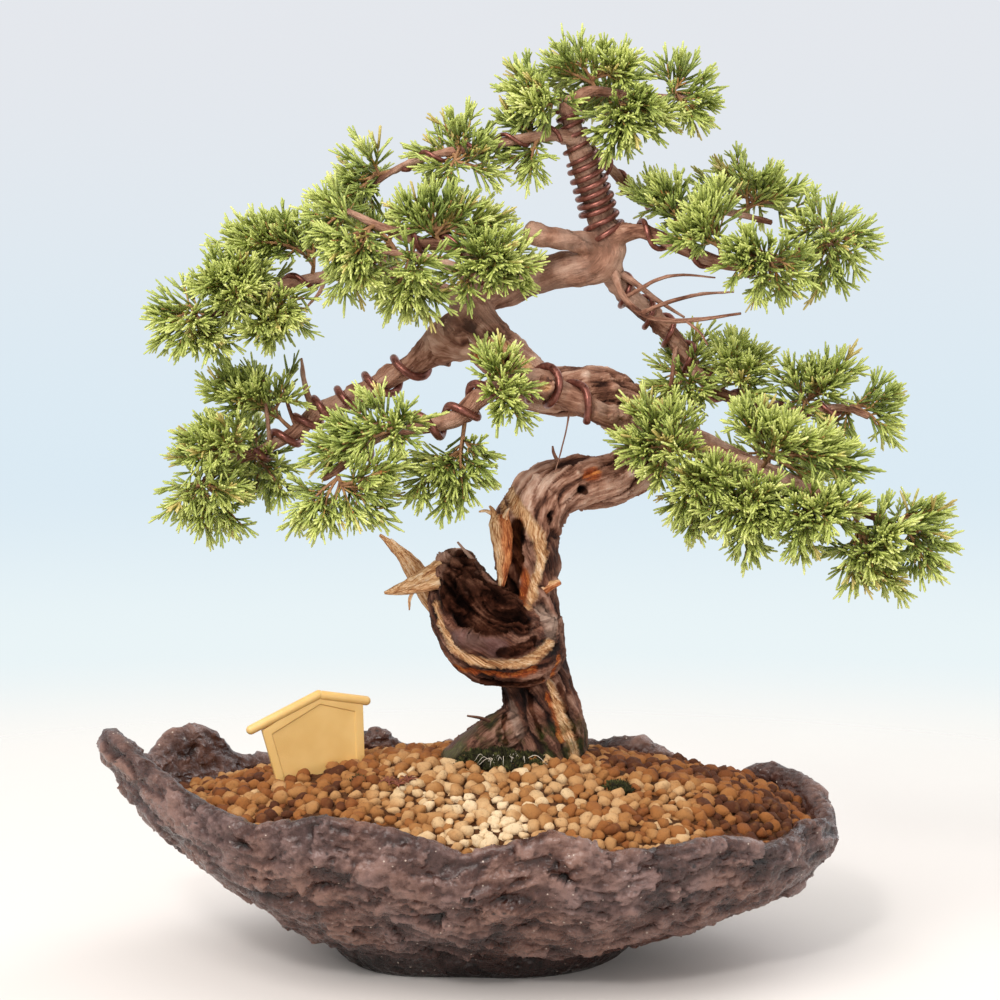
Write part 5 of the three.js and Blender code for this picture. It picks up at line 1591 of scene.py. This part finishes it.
def tuft_meshes():
    """A few tufts of pointed blades, each about one unit high."""
    chance = np.random.default_rng(GRAIN_SEED)
    for number in range(TUFTS):
        blades = []
        for _ in range(TUFT_BLADES):
            turn, lean = chance.uniform(0, 2 * math.pi), chance.uniform(0.1, 0.9)
            aim = np.array([math.cos(turn) * lean, math.sin(turn) * lean, 1.0])
            line = np.array([[0, 0, -0.2], 0.55 * aim, aim + [0, 0, -0.15 * lean]])
            blades.append(sweep(line, np.array([0.13, 0.11, 0.02]), 3, (0, 0))[:2])
        points, faces = merge(blades)
        yield new_mesh(f"tuft {number}", points / MM, faces)


def cushion(middle, radius, height):
    """A low mound on the grit, as rings of points."""
    rings, spokes = CUSHION_RINGS, CUSHION_SPOKES
    points, faces = [(*middle, ground(*middle) + height)], []
    for ring in range(1, rings + 1):
        for spoke in range(spokes):
            turn = 2 * math.pi * spoke / spokes
            uneven = 1 + 0.25 * noise.noise(Vector((turn, middle[0], ring * 0.3)))
            reach = radius * ring / rings * uneven
            x, y = middle[0] + reach * math.cos(turn), middle[1] + reach * math.sin(turn)
            points.append((x, y, ground(x, y) + height * (1 - (ring / rings) ** 2) + 0.8))
    for spoke in range(spokes):
        following = (spoke + 1) % spokes
        faces.append((0, 1 + spoke, 1 + following))
        for ring in range(rings - 1):
            low, high = 1 + ring * spokes, 1 + (ring + 1) * spokes
            faces.append((low + spoke, high + spoke, high + following, low + following))
    return np.array(points), faces


def moss_finish():
    material, tree, shader, place = new_finish("dark moss", 0.85, 0.2)
    cloud = grain_noise(tree, place, 3 * MM, 3)
    tone = weigh(tree, (attribute(tree, "tint"), 0.4), (cloud, 0.6))
    paint(tree, shader, ramp(tree, tone, [
        (0.3, (0.012, 0.008, 0.004)), (0.55, (0.03, 0.03, 0.009)), (0.8, (0.1, 0.1, 0.028))]))
    return material


def hair_lines():
    """Thin pale root hairs that arch out of the moss."""
    chance = np.random.default_rng(GRAIN_SEED + 1)
    hairs = []
    for _ in range(HAIRS):
        x, y = 10 + chance.normal(0, 6), -17 + chance.normal(0, 2.5)
        end = (x + chance.normal(0, 4), y - abs(chance.normal(3, 2)))
        low, high = ground(x, y) + 3, ground(*end) + 3
        arch = ((x + end[0]) / 2, (y + end[1]) / 2, max(low, high) + 2.5, 0.13)
        hairs.append([(x, y, low, 0.14), arch, (*end, high, 0.06)])
    return hairs


def sprig_lines():
    """The forks of a dry sprig that fell on the grit."""
    lines = []
    for x, y in SPRIG:
        for turn in range(SPRIG_TIPS):
            way = np.array([math.cos(turn * 2.4), math.sin(turn * 2.4)])
            stop = np.array([x, y]) + 4.2 * way
            middle = np.array([x, y]) + 2 * way
            lines.append([(x, y, ground(x, y) + 3.2, 0.5), (*middle, ground(*middle) + 4.6, 0.4),
                          (*stop, ground(*stop) + 4.0, 0.2)])
    return lines


def thread_mesh(name, lines, low, high):
    """Thin threads along the lines, in two colours that run into each other."""
    material, tree, shader, place = new_finish(name, 0.7, 0.3)
    cloud = grain_noise(tree, place, 2 * MM, 2)
    paint(tree, shader, ramp(tree, cloud, [(0.35, low), (0.65, high)]))
    points, faces = merge([sweep(*Curve(stations).every(0.8), 4)[:2] for stations in lines])
    return new_mesh(name, points, faces, material)


scatter_moss = scatter_tree(keep_set("tufts", tuft_meshes()), moss_finish())
points, faces = merge([cushion(*row) for row in CUSHIONS])
shortest, tallest = TUFT_HEIGHT
moss = grow(new_mesh("cushions", points, faces), scatter_moss, Least_distance=TUFT_PITCH * MM,
            Density=TUFT_DENSITY, Smallest=shortest * MM, Largest=tallest * MM, Lift=0.0,
            Seed=GRAIN_SEED)
show("moss_tufts", moss, "foliage")
hairs = thread_mesh("root hairs", hair_lines(), (0.55, 0.45, 0.35), (0.8, 0.72, 0.6))
sprig = thread_mesh("dry sprig", sprig_lines(), (0.1, 0.025, 0.015), (0.25, 0.08, 0.04))
show("root_hairs", hairs, "bark")
show("dry_sprig", sprig, "foliage")
print("moss:", triangles(moss), "hairs:", triangles(hairs), "sprig:", triangles(sprig), "triangles")

# %% [markdown]
# ## Foliage
# Juniper foliage is a plant's rule book made visible. A leafy stem forks, and branchlets
# leave it in a spiral, each turned by the golden angle from the last. Every branchlet
# is a small feather: cords stand close along its left and right side, lean forward and
# end in a brush. Growing this by hand would need close on twelve thousand cords. Here
# Python works out a light skeleton for each spray: lines for twigs, and one loose point
# for each cord with its aim, size and age. A Geometry Nodes tree then draws the twigs
# and puts a forked cord from a small set on every point.

# %% Grow the skeletons of the sprays
LEAFY_STEMS = {  # bough, place along it, tips of the stem and its forks
    "mid_left_1": ("L3", 0.5, [(-71, 10, 318), (-86, 24, 313), (-107, -8, 308), (-117, 10, 305)]),
    "mid_left_2": ("L3", 0.71, [(-117, -18, 290), (-100, -26, 298), (-98, -34, 283)]),
    "mid_left_3": ("L3", 0.9, [(-130, 8, 281), (-133, 0, 265), (-120, -14, 271), (-108, -8, 258)]),
    "mid_left_4": ("L3", 0.58, [(-90, -14, 261), (-80, -22, 276), (-94, -30, 270)]),
    "mid_left_5": ("L3", 0.66, [(-107, 44, 295), (-95, 46, 279), (-116, 40, 276)]),
    "upper_left_1": ("L4", 0.95, [(-61, -34, 323), (-58, -22, 313), (-66, -36, 311)]),
    "upper_left_2": ("L4", 0.82, [(-60, -44, 307), (-51, -52, 299), (-46, -46, 288), (-58, -30, 284)]),
    "upper_left_3": ("L4", 0.6, [(-37, -42, 278), (-22, -36, 277), (-24, -56, 292)]),
    "upper_left_4": ("L4", 0.46, [(-31, -34, 321), (-20, -24, 325), (1, -18, 316), (15, -10, 316)]),
    "upper_left_5": ("L4", 0.3, [(9, -40, 291), (23, -30, 296), (5, -44, 304), (-9, -42, 285)]),
    "far_left_1": ("L5", 0.86, [(-58, -2, 328), (-54, 8, 321), (-44, -8, 339), (-60, -10, 320)]),
    "far_left_2": ("L5", 0.52, [(-15, -20, 332), (-22, 0, 343), (-4, -14, 354), (6, -20, 335)]),
    "far_left_3": ("L5", 0.18, [(19, -18, 334), (13, -4, 357), (20, 8, 352)]),
    "apex_1": ("A", 0.08, [(12, -14, 367), (21, -26, 359), (15, 0, 374)]),
    "apex_2": ("A", 0.3, [(43, 14, 380), (29, 0, 380), (53, -6, 380), (63, -14, 375)]),
    "apex_3": ("A", 0.9, [(79, 14, 376), (93, 6, 366), (88, -6, 358)]),
    "apex_4": ("A", 0.5, [(63, -22, 350), (52, -16, 345), (78, -6, 354), (71, -22, 362)]),
    "apex_5": ("A", 0.42, [(47, 40, 363), (64, 38, 365), (32, 34, 361)]),
    "upper_right_1": ("R1", 0.32, [(77, -4, 336), (65, 4, 331), (74, 8, 322)]),
    "upper_right_2": ("R1", 0.44, [(91, -22, 321), (79, -28, 309), (98, -16, 328)]),
    "upper_right_3": ("R1", 0.6, [(111, -38, 307), (99, -36, 298), (121, -18, 286), (131, -30, 295)]),
    "upper_right_4": ("R1", 0.9, [(151, 6, 314), (159, -6, 307), (142, -14, 284), (132, -20, 313)]),
    "upper_right_5": ("R1b", 0.82, [(135, 22, 329), (113, 20, 331), (94, 30, 329), (140, 36, 316)]),
    "low_right_1": ("R3", 0.46, [(74, 28, 244), (81, 8, 238), (98, 36, 262), (92, -6, 240)]),
    "low_right_2": ("R3", 0.57, [(121, 32, 257), (114, 40, 248), (106, 10, 258), (113, -6, 238)]),
    "low_right_3": ("R3", 0.76, [(145, 14, 245), (131, 0, 253), (157, 0, 254), (134, -10, 234)]),
    "low_right_4": ("R3", 0.9, [(173, 6, 240), (174, 0, 226), (146, 10, 225)]),
    "cascade_1": ("R2", 0.2, [(70, -34, 210), (58, -22, 223), (65, -26, 241), (83, -48, 224)]),
    "cascade_2": ("R2", 0.33, [(89, -20, 179), (79, -14, 193), (86, -44, 206), (100, -54, 214)]),
    "cascade_3": ("R2", 0.46, [(111, -30, 168), (116, -50, 190), (97, -46, 194), (118, -58, 208)]),
    "cascade_4": ("R2", 0.5, [(126, -46, 230), (107, -38, 239), (148, -40, 224), (165, -40, 214)]),
    "cascade_5": ("R2", 0.66, [(132, -42, 176), (125, -58, 195), (143, -60, 196), (156, -58, 202)]),
    "cascade_6": ("R2", 0.8, [(176, -34, 155), (153, -38, 165), (162, -50, 177), (168, -52, 190)]),
    "cascade_7": ("R2", 0.93, [(185, -24, 195), (191, -32, 181), (186, -42, 170)]),
    "back_right_1": ("B1", 0.75, [(146, 80, 211), (159, 72, 188), (107, 66, 180), (104, 84, 208)]),
    "back_left_1": ("B2", 0.8, [(-49, 76, 313), (-63, 74, 300), (-45, 70, 282), (-18, 66, 312)]),
    "low_left_1": ("L1", 0.67, [(-102, 12, 253), (-120, 4, 247), (-81, 2, 242)]),
    "low_left_2": ("L1", 0.82, [(-117, -8, 228), (-131, 6, 211), (-105, -20, 224)]),
    "low_left_3": ("L1", 0.95, [(-133, 4, 191), (-118, 12, 182), (-99, -2, 184), (-103, -22, 204)]),
    "low_left_4": ("L1", 0.74, [(-112, 46, 205), (-96, 42, 192), (-100, 44, 227), (-80, 0, 196)]),
    "front_left_1": ("L2", 0.42, [(11, -52, 245), (15, -46, 236), (4, -40, 258)]),
    "front_left_2": ("L2", 0.55, [(-16, -44, 189), (1, -40, 214), (-31, -52, 203)]),
    "front_left_3": ("L2", 0.75, [(-35, -66, 232), (-43, -48, 242), (-66, -42, 226), (-73, -46, 216)]),
    "front_left_4": ("L2", 0.95, [(-51, -56, 197), (-77, -50, 194), (-39, -50, 194), (-31, -68, 219)]),
}
GOLDEN_ANGLE = math.radians(137.5)
UP = np.array([0.0, 0.0, 1.0])
STEM_BOW = 0.09  # how far a stem arches, as a share of its length
STEM_SHORTER = 16.0  # a stem stops so far short of its tip, and a branchlet goes on from there
BRANCHLET_PITCH = 2.9  # one branchlet for so many millimetres of stem
BRANCHLET_LENGTH = (10.0, 17.0)
BRANCHLET_TAPER = 0.6  # those at a stem's tip are shorter by this share
BRANCHLET_STEPS = 5
BRANCHLET_RADII = (0.45, 0.3)  # at its root and at its tip
CORD_PITCH = 2.2  # one cord for so many millimetres of branchlet
FILL_REACH = 0.92  # a filling fork reaches this far towards the gap between two tips
CORD_LENGTH = (5.8, 10.0)
CORD_LEAN = (0.4, 0.75)  # radians away from the branchlet
SAG = 0.05  # how far a branchlet may hang, against a rise of up to 0.12
# Radius at the root, and the bare share of the length, of the three kinds of stem.
MAIN_STEM, FORK, FILLING_FORK = (1.1, 0.24), (0.85, 0.18), (0.7, 0.3)


def part_way(points, share):
    """The place at a share of a line of points, and the number of the point before it."""
    steps = len(points) - 1
    i = min(int(share * steps), steps - 1)
    return points[i] + (points[i + 1] - points[i]) * (share * steps - i), i


class Spray:
    """One spray's skeleton: lines for its twigs, and a loose point for each cord."""

    def __init__(self, seed):
        self.random = np.random.default_rng(seed)
        self.lines = []
        self.cords = []

    def between(self, low, high):
        return low + (high - low) * self.random.random()

    def twig(self, points, thick, thin, age):
        self.lines.append((points, np.linspace(thick, thin, len(points)), age))

    def cord(self, place, aim, length, age, tint):
        self.cords.append((place, aim, length, age, tint))

    def branchlet(self, start, aim, length, age):
        """A flat feather: a short twig with cords close along both of its sides."""
        points = [np.array(start)]
        lift = self.between(-SAG, 0.12)
        for _ in range(BRANCHLET_STEPS):
            aim = unit(aim + lift * UP + self.random.normal(0, 0.07, 3))
            points.append(points[-1] + aim * length / BRANCHLET_STEPS)
        points = np.array(points)
        self.twig(points, *BRANCHLET_RADII, age)
        side = unit(np.cross(aim, unit(self.random.normal(0, 1, 3) + 1.2 * UP)))
        tangents, _, _ = carry_frames(points)
        tint = self.random.random()
        count = max(4, round(length / CORD_PITCH))
        for k in range(count):
            share = (k + 0.7) / count
            place, i = part_way(points, share)
            lean = self.between(*CORD_LEAN)
            hand = 1 if k % 2 else -1
            out = unit(hand * side + self.random.normal(0, 0.35, 3))
            way = unit(tangents[i] * math.cos(lean) + out * math.sin(lean) + 0.06 * UP)
            swell = 0.75 + 0.5 * math.sin(math.pi * (0.15 + 0.75 * share))
            size = self.between(*CORD_LENGTH) * swell
            own_tint = 0.75 * tint + 0.25 * self.random.random()
            self.cord(place, way, size, age + 0.3 * share, own_tint)
        self.cord(points[-1], aim, self.between(*CORD_LENGTH), age + 0.4, tint)

    def stem(self, start, end, thick, first):
        """An arched stem with its spiral of branchlets."""
        span = np.linalg.norm(end - start)
        end = end - (end - start) / span * min(STEM_SHORTER, 0.35 * span)
        bow = self.random.uniform(-STEM_BOW, STEM_BOW, 3) * span + 0.04 * span * UP
        count = max(6, round(span / 3))
        t = np.linspace(0, 1, count + 1)[:, None]
        points = (1 - t) ** 2 * start + 2 * t * (1 - t) * ((start + end) / 2 + bow) + t**2 * end
        self.twig(points, thick, BRANCHLET_RADII[0], 0.0)
        tangents, side, up = carry_frames(points)
        number = max(4, round(span * (1 - first) / BRANCHLET_PITCH))
        for k in range(number):
            share = first + (1 - first) * (k + self.between(0.2, 0.8)) / number
            place, i = part_way(points, share)
            turn = GOLDEN_ANGLE * k + self.between(-0.3, 0.3)
            lean = 0.95 - 0.5 * share
            out = math.cos(turn) * side[i] + math.sin(turn) * up[i]
            aim = unit(tangents[i] * math.cos(lean) + out * math.sin(lean) + 0.05 * UP)
            length = self.between(*BRANCHLET_LENGTH) * (1.15 - BRANCHLET_TAPER * share)
            self.branchlet(place, aim, length, 0.12 + 0.38 * share)
        self.branchlet(points[-1], tangents[-1], STEM_SHORTER * 0.5, 0.5)
        return points


def grow_spray(number, bough, place, tips):
    spray = Spray(100 + number)
    root = limbs[bough].at(place)[0][0]
    tips = np.array(tips, float)
    main = spray.stem(root, tips[0], *MAIN_STEM)
    for k, tip in enumerate(tips[1:]):
        start = main[round((0.3 + 0.16 * k) * (len(main) - 1))]
        spray.stem(start, tip, *FORK)
        between = start + FILL_REACH * ((tips[k] + tip) / 2 - start)
        spray.stem(start, between + spray.random.normal(0, 3, 3), *FILLING_FORK)
    return spray


sprays = {name: grow_spray(k, *row) for k, (name, row) in enumerate(LEAFY_STEMS.items())}
print("sprays:", len(sprays), "with", sum(len(spray.cords) for spray in sprays.values()), "cords")

# %% [markdown]
# ## From skeleton to leaves
# Four small shoots are enough, since each is turned, scaled and tinted on its own: two
# with one side cord and two with a pair. Their points know how far they are from the
# root, so the leaf finish can run from dark green within to yellow green at the tips. A
# leaf's colour also depends on its age and on chance. A cord keeps one thickness
# whatever its length, so a longer one looks slimmer, as a real one does.

# %% Draw twigs and shoots
CORD_RADIUS = 0.58  # millimetres
TWIG_TUBE_SIDES = 5
CORD_SIDES = 4
# Cords of each shoot: places as (sideways, upwards) in millimetres, and their thickness.
SHOOTS = [
    [([(0, 0), (0.1, 3.3), (0.1, 6.4)], 1.0), ([(0.1, 1.9), (1.5, 5.0)], 0.9),
     ([(0, 3.1), (-1.1, 5.8)], 0.85)],
    [([(0, 0), (0.6, 3.2), (1.0, 6.3)], 1.0), ([(0.3, 2.0), (-0.9, 5.2)], 0.9)],
    [([(0, 0), (-0.2, 3.0), (-0.6, 6.0)], 1.0), ([(0, 2.0), (1.1, 5.7)], 0.95)],
    [([(0, 0), (-0.1, 3.6), (0.2, 6.8)], 1.05), ([(-0.1, 1.5), (-1.6, 4.2)], 0.85),
     ([(-0.1, 2.8), (1.3, 5.4)], 0.85)],
]
SHOOT_LENGTH = 6.4


def cord(places, thick, tilt):
    """A slim cord with a rounded tip, lying in a plane that is turned by tilt."""
    across, along = np.array(places, float).T
    line = np.stack([across * math.cos(tilt), across * math.sin(tilt), along], axis=-1)
    share = np.linspace(0, 1, len(line))
    radii = CORD_RADIUS * thick * (1.0 - 0.3 * share**3)
    return sweep(line, radii, CORD_SIDES, (0, 0.9))[:2]


def shoot_meshes():
    for number, cords in enumerate(SHOOTS):
        parts = [cord(places, thick, 0.5 * k) for k, (places, thick) in enumerate(cords)]
        points, faces = merge(parts)
        mesh = new_mesh(f"shoot {number}", points, faces)
        store(mesh, "along", points[:, 2] / SHOOT_LENGTH)
        yield mesh


def skeleton_mesh(spray):
    """Twig lines and loose cord points in one mesh, with their numbers as attributes."""
    lines = np.vstack([line for line, _, _ in spray.lines])
    places, aims, sizes, ages, tints = (np.array(column) for column in zip(*spray.cords))
    edges, base = [], 0
    for line, _, _ in spray.lines:
        edges += [(base + i, base + i + 1) for i in range(len(line) - 1)]
        base += len(line)
    mesh = bpy.data.meshes.new("skeleton")
    mesh.from_pydata((np.vstack([lines, places]) * MM).tolist(), edges, [])
    none = np.zeros(len(lines))
    twig_ages = np.concatenate([np.full(len(line), age) for line, _, age in spray.lines])
    thickness = [radii for _, radii, _ in spray.lines]
    store(mesh, "radius", np.concatenate([*thickness, np.zeros(len(places))]) * MM)
    store(mesh, "aim", np.vstack([np.zeros((len(lines), 3)), aims]))
    store(mesh, "size", np.concatenate([none, sizes / SHOOT_LENGTH]))
    store(mesh, "age", np.concatenate([twig_ages, ages]))
    store(mesh, "tint", np.concatenate([none, tints]))
    return mesh


def named(tree, name, kind="FLOAT"):
    return add(tree, "GeometryNodeInputNamedAttribute", {"Name": name}, data_type=kind).outputs[0]


def spray_tree(group, twig, leaf):
    """Draws a skeleton's twigs as tubes and puts a shoot from the set on each loose point."""
    tree, inputs = new_tree("draw spray", {"Sides": "Int", "Plumpness": "Float", "Seed": "Int"})
    skeleton = inputs["Geometry"]
    drawn = draw_tubes(tree, skeleton, inputs["Sides"], 1.0, named(tree, "radius"))
    size = named(tree, "size")
    is_cord = add(tree, "FunctionNodeCompare", {0: size, 1: 0.01}, operation="GREATER_THAN").outputs[0]
    dots = add(tree, "GeometryNodeMeshToPoints", {"Mesh": skeleton, "Selection": is_cord})
    aimed = add(tree, "FunctionNodeAlignRotationToVector",
                {"Vector": named(tree, "aim", "FLOAT_VECTOR")}, axis="Z")
    angle = random_value(tree, "FLOAT", 0.0, 2 * math.pi, inputs["Seed"])
    spin = add(tree, "FunctionNodeAxisAngleToRotation", {"Axis": (0, 0, 1), "Angle": angle})
    turned = add(tree, "FunctionNodeRotateRotation", {0: aimed.outputs[0], 1: spin.outputs[0]},
                 rotation_space="LOCAL")
    plump = inputs["Plumpness"]
    scale = add(tree, "ShaderNodeCombineXYZ", {0: plump, 1: plump, 2: size})
    laid = add(tree, "GeometryNodeInstanceOnPoints",
               {"Points": dots.outputs[0], "Instance": shape_set(tree, group), "Pick Instance": True,
                "Instance Index": random_value(tree, "INT", 0, len(SHOOTS) - 1, inputs["Seed"]),
                "Rotation": turned.outputs[0], "Scale": scale.outputs[0]})
    both = add(tree, "GeometryNodeJoinGeometry")
    tree.links.new(laid.outputs[0], both.inputs[0])
    tree.links.new(drawn, both.inputs[0])
    close_tree(tree, both.outputs[0], (twig, True), (leaf, is_cord))
    return tree


def leaf_finish():
    """Dark green within, yellow-green at the tips, with an olive or dry shoot here and there."""
    material, tree, shader, place = new_finish("scale leaves", 0.42, 0.4)
    age, along, tint = (attribute(tree, name) for name in ("age", "along", "tint"))
    scales = cells(tree, place, 0.75 * MM)["Distance"]
    patch = grain_noise(tree, place, 26 * MM, 2)
    tone = weigh(tree, (age, 0.42), (along, 0.3))
    tone = calc(tree, "ADD", tone, stretch(tree, patch, 0.3, 0.7, -0.06, 0.2))
    tone = calc(tree, "ADD", tone, stretch(tree, tint, 0, 1, -0.08, 0.12))
    tone = calc(tree, "SUBTRACT", tone, stretch(tree, scales, 0.35, 0.75, 0.0, 0.14))
    green = ramp(tree, tone, [
        (0.05, (0.085, 0.115, 0.022)), (0.26, (0.2, 0.255, 0.05)), (0.46, (0.38, 0.435, 0.1)),
        (0.66, (0.57, 0.61, 0.17)), (0.88, (0.78, 0.78, 0.33))])
    olive = ramp(tree, tone, [
        (0.05, (0.13, 0.075, 0.02)), (0.4, (0.36, 0.22, 0.06)), (0.85, (0.66, 0.5, 0.17))])
    dry = stretch(tree, tint, 0.9, 0.93, 0.0, 0.75)
    paint(tree, shader, mix(tree, dry, green, olive))
    shader.inputs["Subsurface Weight"].default_value = 0.12
    shader.inputs["Subsurface Radius"].default_value = (0.0012, 0.0014, 0.0005)
    bump(tree, shader, scales, 0.3, 0.6)
    return material


def twig_finish():
    material, tree, shader, place = new_finish("young twig", 0.7, 0.3)
    cloud = grain_noise(tree, place, 4 * MM, 3)
    old = ramp(tree, cloud, [(0.3, (0.16, 0.07, 0.03)), (0.7, (0.46, 0.24, 0.11))])
    fresh = ramp(tree, cloud, [(0.3, (0.4, 0.16, 0.045)), (0.7, (0.46, 0.36, 0.1))])
    paint(tree, shader, mix(tree, stretch(tree, attribute(tree, "age"), 0.1, 0.45), old, fresh))
    bump(tree, shader, cloud, 0.3)
    return material


draw_spray = spray_tree(keep_set("shoots", shoot_meshes()), twig_finish(), leaf_finish())
leaf_triangles = 0
for number, (name, spray) in enumerate(sprays.items()):
    foliage = grow(skeleton_mesh(spray), draw_spray, Sides=TWIG_TUBE_SIDES, Plumpness=1.0, Seed=number)
    show(name + "_leafy", foliage, "foliage", "spray_" + name)
    leaf_triangles += triangles(foliage)
print("foliage:", leaf_triangles, "triangles")
